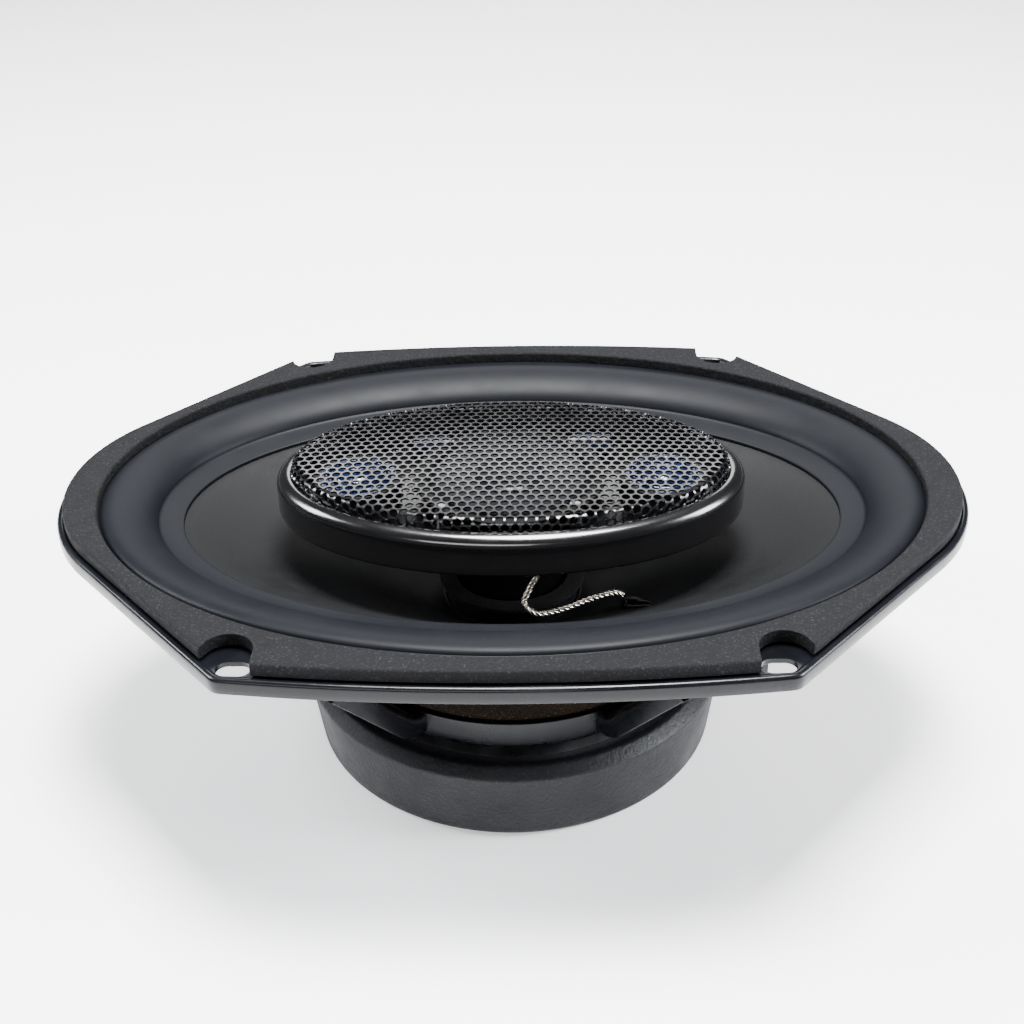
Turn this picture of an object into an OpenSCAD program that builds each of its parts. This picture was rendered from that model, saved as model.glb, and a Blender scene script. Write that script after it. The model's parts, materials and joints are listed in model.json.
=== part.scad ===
// Oval coaxial car speaker, millimetres.
// The origin is the centre of the flange's mounting plane.
// +Z points out of the cone, +X along the long axis.

/* [Flange] */
// Overall length of the flange
overall_length = 237; // [200:1:285]
// Overall width of the flange
overall_width = 170; // [142:1:204]
// Radius of the rounded ends
end_radius = 51; // [42:1:58]
// Angle between the long axis and the normal of a corner chamfer
chamfer_angle = 41.5; // [36:0.5:46]
// Radius of the bowed long sides
side_radius = 480; // [350:10:1200]
// Blend between a long side and a chamfer
corner_radius = 4; // [2:0.5:8]
// Height of the folded rim
rim_depth = 4; // [3:0.5:6]
// Thickness of the folded rim
rim_wall = 1.6; // [1.2:0.1:2.4]
// Height of the rim above the flange plate
lip_rise = 0.4; // [0.2:0.1:0.8]
// Thickness of the flange plate
flange_sheet = 1.2; // [0.8:0.1:1.6]

/* [Mounting slots] */
// Slot centres, along X
slot_spacing_x = 120; // [100:1:124]
// Slot centres, in from the long sides
slot_inset = 8.5; // [7:0.5:10]
// Slot length, end to end
slot_length = 8; // [6:0.5:10]
// Slot width
slot_width = 5.2; // [4:0.1:5.6]

/* [Basket] */
// From the flange edge to the inside of the oval wall
wall_inset = 13; // [12:0.5:16]
// Oval wall, below the mounting plane
wall_drop = 8; // [6:0.5:10]
// Sheet of the wall, arms and motor cup
basket_sheet = 1.5; // [1:0.1:2]
// From the mounting plane to the motor's seat
basket_depth = 42; // [40:0.5:50]
// Outer radius of the motor cup
cup_radius = 50; // [48:0.5:60]
// Height of the motor cup
cup_height = 7.9; // [7:0.1:9]
// Width of the two end arms
end_arm_width = 20; // [16:1:26]
// Width of the four side arms
side_arm_width = 22; // [16:1:26]
// Angle of a side arm from the long axis
side_arm_angle = 52; // [46:1:56]
// Depth of the folded edges of an arm
arm_fold = 4; // [2:0.5:6]
// Centre hole of the basket
basket_bore = 41; // [40:0.5:46]

/* [Surround and gasket] */
// From the flange edge to the outer foot of the roll
foot_inset = 11.2; // [11:0.1:13]
// Width of the roll
roll_width = 14.5; // [12:0.5:18]
// Rise of the roll above the line between its feet
roll_rise = 3.1; // [2:0.1:6]
// How far the inner foot lies below the outer foot
foot_drop = 4.6; // [0:0.1:5]
// Thickness of the rubber
rubber = 0.8; // [0.5:0.1:1.2]
// Width of the lip under the gasket
lip_width = 5; // [3:0.5:6]
// Width of the lip on the cone
glue_width = 6.4; // [4:0.1:8]
// Fall of that lip towards the middle
glue_fall = 1.2; // [0:0.1:1.5]
// Height of the gasket
gasket_height = 3.1; // [2:0.1:5]
// From the flange edge to the gasket's outer edge
gasket_edge = 1.9; // [1.7:0.1:3]
// Width of the gasket at the ends
gasket_end = 11.1; // [10:0.1:13]
// Width of the gasket at the long sides
gasket_side = 7.7; // [6:0.1:10]
// Radius of a gasket notch
notch_radius = 6; // [5:0.5:7]

/* [Cone] */
// Thickness of the cone
cone_wall = 0.9; // [0.6:0.1:1.5]
// Depth of the cone, from its rim to its neck
cone_depth = 24.5; // [20.5:0.5:27.5]
// How hollow the cone's flank is: 1 is straight
cone_curve = 1; // [0.8:0.05:1.4]
// Height of the neck collar on the former
neck_height = 2.5; // [1.5:0.5:4]
// Distance of the lead eyelets from the short axis
eyelet_x = 31; // [26:1:36]
// Distance of the lead eyelets from the long axis
eyelet_y = 22; // [18:1:26]

/* [Voice coil] */
// Inner radius of the former
former_bore = 17.5; // [17.3:0.1:19]
// Wall of the former
former_wall = 0.3; // [0.2:0.05:0.5]
// Thickness of the winding
winding = 0.9; // [0.5:0.1:1.2]
// Length of the winding
winding_length = 12; // [8:0.5:14]
// Width of the felt dust ring
dust_ring_width = 4.7; // [3:0.1:5]

/* [Spider] */
// Outer radius of the spider
spider_radius = 47.5; // [44:0.5:48]
// Radius where the corrugations end
corrugation_radius = 43; // [38:0.5:44]
// Height of the corrugations
corrugation_height = 1.6; // [1:0.1:2.5]
// Number of corrugations
corrugations = 6; // [4:1:8]
// Thickness of the cloth
spider_cloth = 0.5; // [0.4:0.1:0.8]

/* [Motor] */
// Radius of the top plate
top_plate_radius = 47; // [44:0.5:50]
// Thickness of the top plate
top_plate_height = 5; // [4:0.5:8]
// Radial gap from the winding to the top plate
gap_clearance = 0.7; // [0.4:0.05:1]
// Outer radius of the magnet
magnet_radius = 52; // [46:0.5:62]
// Inner radius of the magnet
magnet_bore = 24; // [22:0.5:28]
// Height of the magnet
magnet_height = 13; // [10:0.5:18]
// Radius of the yoke plate
yoke_radius = 49.5; // [44:0.5:60]
// Thickness of the yoke plate
yoke_height = 5.5; // [4:0.5:8]
// Radius of the pole
pole_radius = 16.9; // [15:0.1:17.2]
// Bore through the pole
pole_bore = 6; // [5:0.1:7]
// Radius of the recess behind the pole
recess_radius = 10.5; // [10:0.5:14]
// Depth of the recess behind the pole
recess_depth = 4; // [3.8:0.1:5]
// Wall of the rubber magnet cover
cover_wall = 5.2; // [2:0.1:7]
// Taper of the cover, top to bottom
cover_taper = 2.5; // [0:0.1:4]
// Floor of the cover
cover_floor = 1.5; // [1:0.1:3]
// Chamfer of the cover's top edge
cover_chamfer = 3.2; // [1:0.1:4]
// Rise of the cover above the magnet
cover_rise = 3; // [1:0.5:4]
// Radius of the opening in the cover's floor
cover_opening = 20; // [15:0.5:30]

/* [Centre post] */
// Radius of the post
post_radius = 13.5; // [12:0.1:14]
// Radius of the spigot in the pod floor
spigot_radius = 9; // [7:0.5:11]
// Wire channel down the post
channel_radius = 4; // [3:0.5:5]
// Thread radius of the post bolt
bolt_radius = 3; // [2:0.5:3]
// Across flats of the bolt head
bolt_head = 10; // [8:0.5:11]
// Outer radius of the washer
washer_radius = 9.5; // [8:0.5:10]

/* [Pod] */
// Length of the pod
pod_length = 122.2; // [116:0.2:140]
// Width of the pod
pod_width = 73.4; // [70:0.2:80]
// Underside of the pod above the mounting plane
pod_base = 0.6; // [0.4:0.1:3]
// Height of the pod's rim
pod_height = 10.9; // [9.5:0.1:12]
// Width of the pod's rim
pod_rim = 3.9; // [3:0.1:5]
// Thickness of the pod's floor
pod_floor = 1.5; // [1.2:0.1:2]
// Ledge that carries the grille
pod_ledge = 1.5; // [1:0.1:2]
// Sheet of the grille
grille_sheet = 0.8; // [0.5:0.1:1.2]
// Height of the grille's shoulder above the pod's rim
grille_rise = 3; // [3:0.1:5]
// Rise of the grille's dome above its shoulder
grille_dome = 1.6; // [1.2:0.1:3]
// Distance of a tweeter from the centre
tweeter_x = 40; // [38:0.5:42]
// Radius of a tweeter housing
tweeter_radius = 11.5; // [10.5:0.1:12.5]
// Radius of a tweeter dome
dome_radius = 7; // [6:0.1:7.5]
// Rise of a tweeter dome
dome_rise = 2.7; // [1.5:0.1:3]
// Radius of the midrange frame
midrange_radius = 25; // [22:0.5:26]

/* [Terminals] */
// Width of the terminal board
board_width = 32; // [28:1:36]
// Length of the terminal board
board_length = 16; // [14:1:20]
// Thickness of the terminal board
board_height = 1.6; // [1:0.1:2.5]
// Width of a terminal blade
blade_width = 6.3; // [4.8:0.1:6.3]
// Thickness of a terminal blade
blade_sheet = 0.8; // [0.5:0.1:1]
// Length of a terminal blade
blade_length = 9; // [7:0.5:12]

/* [Wires] */
// Diameter of the braided leads
lead_diameter = 1.8; // [0.8:0.1:2]
// Diameter of the wires in the pod
wire_diameter = 1; // [0.8:0.1:1.4]

/* [Hidden] */

$fn = 96;
cut = 1;          // overshoot of every cutting solid
glue = 0.1;       // gap of a glued joint
stations = 72;    // points round an oval
end_steps = 10;   // steps of an end arc, from the long axis to a chamfer
side_steps = 8;   // steps of half a long side
blend_steps = 3;  // steps of a corner blend

half_length = overall_length / 2;
half_width = overall_width / 2;

// Heights of the flange stack
plate_top = rim_depth - lip_rise;
plate_bottom = plate_top - flange_sheet;
lip_top = plate_top + rubber;
foot_top = lip_top - foot_drop;
glue_top = foot_top - glue_fall;
cone_step = 0.6;  // how far the cone's edges lie inside those of the surround's lip
cone_top = glue_top - rubber - glue - glue_fall * cone_step / glue_width;

// Heights of the basket and motor
seat_z = -basket_depth;
floor_z = seat_z + basket_sheet;
cup_top = seat_z + cup_height;
gap_z = seat_z - top_plate_height / 2;
magnet_top = seat_z - top_plate_height;
yoke_top = magnet_top - magnet_height;
yoke_bottom = yoke_top - yoke_height;
recess_z = yoke_bottom + recess_depth;
cover_bottom = yoke_bottom - cover_floor;
cover_top = magnet_top + cover_rise;

// Voice coil
former_radius = former_bore + former_wall;
coil_radius = former_radius + winding;
coil_bottom = gap_z - winding_length / 2;
coil_top = coil_bottom + winding_length;
neck_bore = former_radius + 0.15;
neck_z = cone_top - cone_depth;
former_top = neck_z + 5;
former_bottom = coil_bottom - 0.5;
spider_z = cup_top - spider_cloth;
collar_wall = 0.7;
collar_height = 1.8;

// Cone outline at its glue rim and at the end of its flank
cone_edge = foot_inset + roll_width + cone_step;
flank_edge = foot_inset + roll_width + glue_width + cone_step;

// Pod
pod_a = pod_length / 2;
pod_b = pod_width / 2;
pod_top = pod_base + pod_height;
pod_floor_top = pod_base + pod_floor;
grille_foot = pod_top - 2.6;
shoulder_z = pod_top + grille_rise;

// ---- outlines ----

// Flange outline, brought in by d: end arc, straight chamfer, blend and bowed side, four times mirrored
function flange_quarter(d) =
    let (cx = half_length - end_radius, yc = half_width - side_radius,
         c = cos(chamfer_angle), s = sin(chamfer_angle),
         rf = max(corner_radius - d, 0.6),
         k = cx * c + end_radius - d - rf,
         q = side_radius - d - rf,
         m = k * s + yc * c * c,
         fy = m + sqrt(m * m - k * k - c * c * (yc * yc - q * q)),
         fx = (k - s * fy) / c,
         side_angle = atan2(fy - yc, fx))
    concat(
        [for (i = [0 : end_steps]) let (t = chamfer_angle * i / end_steps)
            [cx + (end_radius - d) * cos(t), (end_radius - d) * sin(t)]],
        [for (i = [0 : blend_steps])
            let (t = chamfer_angle + (side_angle - chamfer_angle) * i / blend_steps)
            [fx + rf * cos(t), fy + rf * sin(t)]],
        [for (i = [1 : side_steps]) let (t = side_angle + (90 - side_angle) * i / side_steps)
            [(side_radius - d) * cos(t), yc + (side_radius - d) * sin(t)]]);

function flange_points(d) =
    let (q = flange_quarter(d), n = len(q) - 1)
    concat(q,
        [for (i = [n - 1 : -1 : 0]) [-q[i].x, q[i].y]],
        [for (i = [1 : n]) [-q[i].x, -q[i].y]],
        [for (i = [n - 1 : -1 : 1]) [q[i].x, -q[i].y]]);

// Where a chamfer lies at height y, and the slot centres that keep clear of it
function chamfer_x(y) =
    half_length - end_radius + (end_radius - y * sin(chamfer_angle)) / cos(chamfer_angle);
slot_y = half_width - slot_inset;
slot_x = min(slot_spacing_x / 2, chamfer_x(slot_y) - 7.5);

function oval_points(a, b, n = 96) =
    [for (i = [0 : n - 1]) [a * cos(360 * i / n), b * sin(360 * i / n)]];

// Radius of an oval in the direction of an angle
function oval_radius(a, b, angle) = a * b / sqrt(pow(b * cos(angle), 2) + pow(a * sin(angle), 2));

module oval(a, b) polygon(oval_points(a, b));

module oval_ring(a, b, wall) difference() {
    oval(a, b);
    oval(a - wall, b - wall);
}

module flange_shape(d) polygon(flange_points(d));

// ---- lofted skins ----

function quads(rows, n, closed) = [
    for (r = [0 : rows - (closed ? 1 : 2)], i = [0 : n - 1])
        let (a = r * n + i, b = r * n + (i + 1) % n,
             c = ((r + 1) % rows) * n + (i + 1) % n, d = ((r + 1) % rows) * n + i)
        each [[a, c, b], [a, d, c]]];

// Closed ring: each profile point is [inset in a, inset in b, z] from the oval (a, b)
module oval_loft(a, b, profile) polyhedron(
    points = [for (p = profile, i = [0 : stations - 1])
        [(a - p[0]) * cos(360 * i / stations), (b - p[1]) * sin(360 * i / stations), p[2]]],
    faces = quads(len(profile), stations, true), convexity = 6);

// Closed cap: rows from the underside's middle, out round the edge, back to the top's middle;
// each row is [share of the oval, inset, z]
module oval_cap(a, b, rows, z_low, z_high) let (n = len(rows) * stations) polyhedron(
    points = concat(
        [for (p = rows, i = [0 : stations - 1])
            [a * p[0] * cos(360 * i / stations) - p[1] * cos(360 * i / stations),
             b * p[0] * sin(360 * i / stations) - p[1] * sin(360 * i / stations), p[2]]],
        [[0, 0, z_low], [0, 0, z_high]]),
    faces = concat(quads(len(rows), stations, false),
        [for (i = [0 : stations - 1]) [n, i, (i + 1) % stations]],
        [for (i = [0 : stations - 1]) let (r = n - stations) [n + 1, r + (i + 1) % stations, r + i]]),
    convexity = 6);

// Round wire through points: rings of eight, each square to the route
function unit(v) = v / norm(v);
function catmull(p, q, r, s, t) =
    0.5 * (2 * q + (r - p) * t + (2 * p - 5 * q + 4 * r - s) * t * t
        + (3 * q - p - 3 * r + s) * t * t * t);
function smooth(pts, steps) = let (n = len(pts)) concat(
    [for (i = [0 : n - 2], j = [0 : steps - 1])
        catmull(pts[max(i - 1, 0)], pts[i], pts[i + 1], pts[min(i + 2, n - 1)], j / steps)],
    [pts[n - 1]]);
module wire(pts, diameter, steps = 3) {
    path = smooth(pts, steps);
    n = len(path);
    sides = 8;
    points = [for (i = [0 : n - 1])
        let (along = unit(path[min(i + 1, n - 1)] - path[max(i - 1, 0)]),
             u = unit(cross(along, [0.31, 0.17, 0.93])), v = cross(along, u))
        for (k = [0 : sides - 1])
            path[i] + diameter / 2 * (u * cos(360 * k / sides) + v * sin(360 * k / sides))];
    polyhedron(points = points, faces = concat(quads(n, sides, false),
        [[for (k = [0 : sides - 1]) k], [for (k = [sides - 1 : -1 : 0]) (n - 1) * sides + k]]),
        convexity = 8);
}

// ---- turned pieces ----

module tube(r_in, r_out, z0, z1) translate([0, 0, z0]) difference() {
    cylinder(h = z1 - z0, r = r_out);
    translate([0, 0, -cut]) cylinder(h = z1 - z0 + 2 * cut, r = r_in);
}

module rod(r, z0, z1) translate([0, 0, z0]) cylinder(h = z1 - z0, r = r);

module at_four(x, y) for (sx = [-1, 1], sy = [-1, 1]) translate([sx * x, sy * y, 0]) children();

// ---- basket ----

wall_a = half_length - wall_inset;
wall_b = half_width - wall_inset;

module slot_cut() {
    reach = (slot_length - slot_width) / 2;
    for (sx = [-1, 1]) translate([sx * reach, 0, 0])
        cylinder(h = 4 * rim_depth, d = slot_width, center = true);
    cube([2 * reach, slot_width, 4 * rim_depth], center = true);
}

// Side view of an arm: level just under the cup's edge, sloping up, level at the oval wall
arm_foot = cup_radius + 2.2;
arm_foot_z = cup_top - 0.2;
arm_head_z = -wall_drop + basket_sheet;
function arm_reach(angle) = oval_radius(wall_a + basket_sheet, wall_b + basket_sheet, angle) - 5.4;
function arm_slope(angle) = atan2(arm_head_z - arm_foot_z, arm_reach(angle) - arm_foot);
function arm_profile(angle, t) =
    let (head = arm_reach(angle), bend = t * tan(arm_slope(angle) / 2))
    [[cup_radius - basket_sheet + 0.1, arm_foot_z], [arm_foot, arm_foot_z], [head, arm_head_z],
     [head + 20, arm_head_z], [head + 20, arm_head_z - t], [head + bend, arm_head_z - t],
     [arm_foot + bend, arm_foot_z - t], [cup_radius - basket_sheet + 0.1, arm_foot_z - t]];

module arm_slab(angle, t, y0, y1) rotate([0, 0, angle]) translate([0, y1, 0]) rotate([90, 0, 0])
    linear_extrude(y1 - y0) polygon(arm_profile(angle, t));

module arm(angle, width, folded) {
    arm_slab(angle, basket_sheet, -width / 2, width / 2);
    if (folded) for (side = [-1, 1])
        arm_slab(angle, basket_sheet + arm_fold,
            side > 0 ? width / 2 - basket_sheet : -width / 2,
            side > 0 ? width / 2 : -width / 2 + basket_sheet);
}

// Frame of the terminal board: its origin is on the underside of the +X arm, Z along the arm's normal
board_x = cup_radius + 16;
module on_terminal_arm() {
    slope = arm_slope(0);
    foot_x = arm_foot + basket_sheet * tan(slope / 2);
    translate([board_x, 0, arm_foot_z - basket_sheet + (board_x - foot_x) * tan(slope)])
        rotate([0, -slope, 0])
        children();
}
rivet_hole = 1.6;
rivet_shank = 1.5;
rivet_pitch = 9;

motor_rivet_radius = 34;
motor_rivet_hole = 2;
module at_motor_rivets() for (k = [0 : 3])
    rotate([0, 0, 45 + 90 * k]) translate([motor_rivet_radius, 0, 0]) children();

module basket() color("#16181c") difference() {
    union() {
        linear_extrude(rim_depth) difference() {
            flange_shape(0);
            flange_shape(rim_wall);
        }
        translate([0, 0, plate_bottom]) linear_extrude(flange_sheet) difference() {
            flange_shape(rim_wall / 2);
            oval(wall_a, wall_b);
        }
        translate([0, 0, -wall_drop]) linear_extrude(wall_drop + plate_bottom + flange_sheet / 2)
            oval_ring(wall_a + basket_sheet, wall_b + basket_sheet, basket_sheet);
        intersection() {
            union() {
                arm(0, end_arm_width, false);
                arm(180, end_arm_width, true);
                for (end = [0, 180], turn = [-side_arm_angle, side_arm_angle])
                    arm(end + turn, side_arm_width, true);
            }
            translate([0, 0, seat_z]) linear_extrude(basket_depth)
                oval(wall_a + basket_sheet / 2, wall_b + basket_sheet / 2);
        }
        tube(cup_radius - basket_sheet, cup_radius, seat_z, cup_top);
        tube(basket_bore / 2, cup_radius - basket_sheet / 2, seat_z, floor_z);
    }
    at_four(slot_x, slot_y) slot_cut();
    at_motor_rivets() rod(motor_rivet_hole, seat_z - cut, floor_z + cut);
    on_terminal_arm() for (s = [-1, 1]) translate([s * rivet_pitch / 2, 0, 0])
        rod(rivet_hole, -cut, basket_sheet + cut);
}

module basket_rivets() color("#b9bcc0") at_motor_rivets() {
    rod(motor_rivet_hole - 0.1, seat_z - top_plate_height + 0.5, floor_z + 0.2);
    translate([0, 0, floor_z]) cylinder(h = 1.2, r1 = 3.4, r2 = 2.2);
}

module notch() {
    circle(r = notch_radius);
    polygon([[-notch_radius + 0.5, 0], [notch_radius - 1.3, -1.5], [notch_radius + 14, 12],
        [notch_radius + 14, 20], [-notch_radius + 0.5, 20]]);
}

module front_gasket() color("#3a3a3d") translate([0, 0, lip_top]) linear_extrude(gasket_height)
    difference() {
        flange_shape(gasket_edge);
        oval(half_length - gasket_end, half_width - gasket_side);
        for (sx = [-1, 1], sy = [-1, 1]) scale([sx, sy])
            translate([slot_x + 1.5, slot_y - 1.9]) notch();
    }

// ---- soft suspension ----

roll_steps = 12;
function roll_arc(rise, drop) = [for (i = [0 : roll_steps])
    let (t = -1 + 2 * i / roll_steps)
    [roll_width * (1 + t) / 2, -drop * (1 + t) / 2 + rise * sqrt(max(0, 1 - t * t))]];

module surround() color("#202226") {
    top = [for (p = roll_arc(roll_rise, foot_drop)) [p.x, p.x, lip_top + p.y]];
    under = [for (p = roll_arc(roll_rise - 0.2, foot_drop)) [p.x, p.x, lip_top - rubber + p.y]];
    flat = roll_width + glue_width;
    oval_loft(half_length - foot_inset, half_width - foot_inset, concat(
        [[-lip_width, -lip_width, lip_top]], top,
        [[flat, flat, glue_top], [flat, flat, glue_top - rubber]],
        [for (i = [roll_steps : -1 : 0]) under[i]],
        [[-lip_width, -lip_width, plate_top]]));
}

module spider_ring() color("#2a2a2c")
    tube(corrugation_radius, cup_radius - basket_sheet - glue, floor_z, spider_z);

// Waves of the spider, from the collar out to its flat edge
wave_steps = 4;
wave_start = former_radius + glue + collar_wall;
function wave_z(r) = corrugation_height / 2
    * sin(360 * corrugations * (r - wave_start) / (corrugation_radius - 1 - wave_start));
function wave_line(lift) = [for (i = [0 : corrugations * wave_steps])
    let (r = wave_start + (corrugation_radius - 1 - wave_start) * i / (corrugations * wave_steps))
    [r, spider_z + lift + wave_z(r)]];

module spider() color("#8a5a1e") rotate_extrude() {
    under = wave_line(0);
    polygon(concat(
        [[former_radius + glue, spider_z]], under,
        [[spider_radius, spider_z], [spider_radius, cup_top]],
        [for (i = [len(under) - 1 : -1 : 1]) under[i] + [0, spider_cloth]],
        [[wave_start, spider_z + spider_cloth], [wave_start, spider_z + collar_height],
         [former_radius + glue, spider_z + collar_height]]));
}

// ---- motor ----

module top_plate() color("#8e9196") difference() {
    tube(coil_radius + gap_clearance, top_plate_radius, magnet_top, seat_z);
    at_motor_rivets() rod(motor_rivet_hole, magnet_top - cut, seat_z + cut);
}

module magnet() color("#1d1d1f") tube(magnet_bore, magnet_radius, yoke_top, magnet_top);

module t_yoke() color("#8e9196") difference() {
    union() {
        rod(yoke_radius, yoke_bottom, yoke_top);
        rod(pole_radius, yoke_top - cut, seat_z);
    }
    rod(pole_bore, yoke_bottom - cut, seat_z + cut);
    rod(recess_radius, yoke_bottom - cut, recess_z);
}

cover_bore = magnet_radius + glue;
cover_radius = cover_bore + cover_wall;
module magnet_cover() color("#2b2c2f") rotate_extrude() polygon([
    [cover_opening, cover_bottom], [cover_radius - cover_taper - 1.5, cover_bottom],
    [cover_radius - cover_taper, cover_bottom + 1.5], [cover_radius, cover_top - 0.8 * cover_chamfer],
    [cover_radius - min(cover_chamfer, cover_wall - 0.5), cover_top],
    [cover_bore, cover_top], [cover_bore, yoke_top],
    [yoke_radius + glue, yoke_top], [yoke_radius + glue, yoke_bottom], [cover_opening, yoke_bottom]]);

// ---- centre post ----

mouth_angle = 68;  // direction of a wire mouth from the long axis
mouth_z = -4;
module center_post() color("#121315") difference() {
    union() {
        rod(pole_bore - glue, recess_z + 0.5, seat_z + 0.5);
        rod(post_radius, seat_z, pod_base);
        rod(spigot_radius, pod_base - cut, pod_floor_top);
    }
    rod(bolt_radius, recess_z - cut, recess_z + 14);
    rod(channel_radius, mouth_z - 3, pod_floor_top + cut);
    for (side = [-1, 1]) translate([0, 0, mouth_z]) rotate([0, 90, side * mouth_angle])
        cylinder(h = post_radius + cut, r = lead_diameter / 2 + 0.5);
}

washer_z = recess_z - 0.8;
module post_washer() color("#b9bcc0") tube(bolt_radius + 0.2, washer_radius, washer_z, recess_z);

module post_bolt() color("#b9bcc0") {
    rod(bolt_radius - glue, washer_z - 1, recess_z + 13);
    translate([0, 0, washer_z - 2.6]) cylinder(h = 2.6, r = bolt_head / 2 / cos(30), $fn = 6);
}

// ---- cone and coil ----

neck_wall = cone_wall;
flank_steps = 5;
function flank_row(s, lower) =
    let (r = neck_bore + neck_wall,
         a = r + (half_length - flank_edge - r) * s,
         b = r + (half_width - flank_edge - r) * s)
    [a, b, neck_z + cone_depth * pow(s, cone_curve) - lower];
module cone_skin(rows) polyhedron(
    points = [for (p = rows, i = [0 : stations - 1])
        [p[0] * cos(360 * i / stations), p[1] * sin(360 * i / stations), p[2]]],
    faces = quads(len(rows), stations, true), convexity = 6);

module cone_shell() {
    slope_drop = cone_wall * 1.3;
    rim = half_length - cone_edge;
    rim_b = half_width - cone_edge;
    cone_skin(concat(
        [[rim, rim_b, cone_top + glue_fall]],
        [for (i = [flank_steps : -1 : 0]) flank_row(i / flank_steps, 0)],
        [[neck_bore, neck_bore, neck_z], [neck_bore, neck_bore, neck_z - neck_height],
         [neck_bore + neck_wall, neck_bore + neck_wall, neck_z - neck_height]],
        [for (i = [0 : flank_steps]) flank_row(i / flank_steps, slope_drop)],
        [[rim, rim_b, cone_top + glue_fall - cone_wall]]));
}

module voice_coil_former() color("#6b5a34") tube(former_bore, former_radius, former_bottom, former_top);

module voice_coil() color("#a4552a") tube(former_radius, coil_radius, coil_bottom, coil_top);

dust_ring_edge = former_radius + 2;
module dust_ring() color("#1f1f21")
    tube(dust_ring_edge - dust_ring_width, dust_ring_edge, former_top, former_top + 1.1);

// Surface of the cone above a point, along its straight lines from neck to rim
function flank_share(x, y, low = 0, high = 1, n = 18) =
    let (mid = (low + high) / 2, p = flank_row(mid, 0),
         out = pow(x / p[0], 2) + pow(y / p[1], 2) > 1)
    n == 0 ? mid : flank_share(x, y, out ? mid : low, out ? high : mid, n - 1);
function flank_z(x, y) = neck_z + cone_depth * pow(flank_share(x, y), cone_curve);
eyelet_z = flank_z(eyelet_x, eyelet_y);

// Frame on the cone at an eyelet: Z square to the surface, X out along the flank
module on_cone(side) {
    gx = flank_z(eyelet_x + 0.5, eyelet_y) - flank_z(eyelet_x - 0.5, eyelet_y);
    gy = flank_z(eyelet_x, eyelet_y + 0.5) - flank_z(eyelet_x, eyelet_y - 0.5);
    steep = atan(norm([gx, gy]));
    away = atan2(gy, gx);
    translate([eyelet_x, side * eyelet_y, eyelet_z]) rotate([0, -steep, side * away]) children();
}
eyelet_hole = 1.3;
eyelet_flange = 2.2;

module cone() color("#18191c") difference() {
    cone_shell();
    for (side = [-1, 1]) on_cone(side) rod(eyelet_hole, -3, 2);
}

module lead_eyelets() color("#c9a24a") for (side = [-1, 1]) on_cone(side) {
    tube(0.7, eyelet_hole - 0.1, -1.6, 0.6);
    tube(0.7, eyelet_flange, 0.2, 0.6);
    tube(0.7, eyelet_flange - 0.3, -2, -1.6);
}

dab_radius = 2.7;
dab_length = 10;
dab_lift = 0.3;
module lead_glue_dabs() color("#08090a") for (side = [-1, 1]) on_cone(side) difference() {
    hull() {
        translate([0, 0, dab_lift]) cylinder(h = 1.3, r1 = dab_radius, r2 = dab_radius - 0.9, $fn = 32);
        translate([dab_length, 0, dab_lift]) cylinder(h = 0.4, r = 0.4, $fn = 32);
    }
    rod(eyelet_flange + 0.05, -cut, 0.65);
}

// ---- pod ----

pod_inset = pod_rim + pod_ledge;
boss_radius = 2.2;
boss_reach = 23.5;
midrange_seat = pod_floor_top + 6.1;
module at_bosses() for (k = [0 : 3]) rotate([0, 0, 45 + 90 * k]) translate([boss_reach, 0, 0]) children();

module pod_housing() color("#1b1c1f") difference() {
    union() {
        oval_cap(pod_a, pod_b, [
            [1, 1, pod_base], [1, 0.3, pod_base + 0.8],
            [1, 0, pod_base + 2.4], [1, 0, pod_top - 2.9],
            [1, 0.5, pod_top - 1.5], [1, 1.4, pod_top - 0.5],
            [1, 2.6, pod_top - 0.1], [1, pod_rim, pod_top],
            [1, pod_rim, grille_foot], [1, pod_inset, grille_foot],
            [1, pod_inset, pod_floor_top]],
            pod_base, pod_floor_top);
        at_bosses() rod(boss_radius, pod_floor_top - 0.5, midrange_seat);
    }
    rod(spigot_radius + 0.05, pod_base - cut, pod_floor_top + cut);
    at_bosses() rod(screw_radius + 0.1, pod_floor_top, midrange_seat + cut);
}

// Height of the grille's top at a share of its half size
function dome_z(share) = shoulder_z + grille_dome * (1 - share * share) - 0.3;
module pod_grille() color("#4a4a50") oval_cap(pod_a - pod_rim - glue, pod_b - pod_rim - glue, concat(
    [for (share = [0.3, 0.6, 0.92]) [share, 0, dome_z(share) - grille_sheet]],
    [[1, grille_sheet, shoulder_z - 1.9], [1, grille_sheet, grille_foot], [1, 0, grille_foot],
     [1, 0.1, shoulder_z - 1.6], [1, 0.5, shoulder_z - 0.8],
     [1, 1.2, shoulder_z - 0.3], [1, 2.4, dome_z(0.95)]],
    [for (share = [0.9, 0.6, 0.3]) [share, 0, dome_z(share)]]), dome_z(0) - grille_sheet, dome_z(0));

// ---- midrange, in the middle of the pod ----

screw_radius = 0.9;
screw_head = 1.3;
mid_magnet_z = pod_floor_top + 1.2;
mid_magnet_top = mid_magnet_z + 3.5;
mid_pole = 8.2;
mid_gap = 10.2;
mid_magnet_radius = 12;
mid_coil_z = mid_magnet_z + 1.4;
mid_neck_z = mid_magnet_top + 1;
mid_edge_z = midrange_seat + 0.8;
mid_cone_radius = 19.6;

module midrange_magnet() color("#9a9ca0") difference() {
    rod(mid_magnet_radius, mid_magnet_z, mid_magnet_top);
    tube(mid_pole, mid_gap, mid_magnet_z + 0.8, mid_magnet_top + cut);
}

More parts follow.
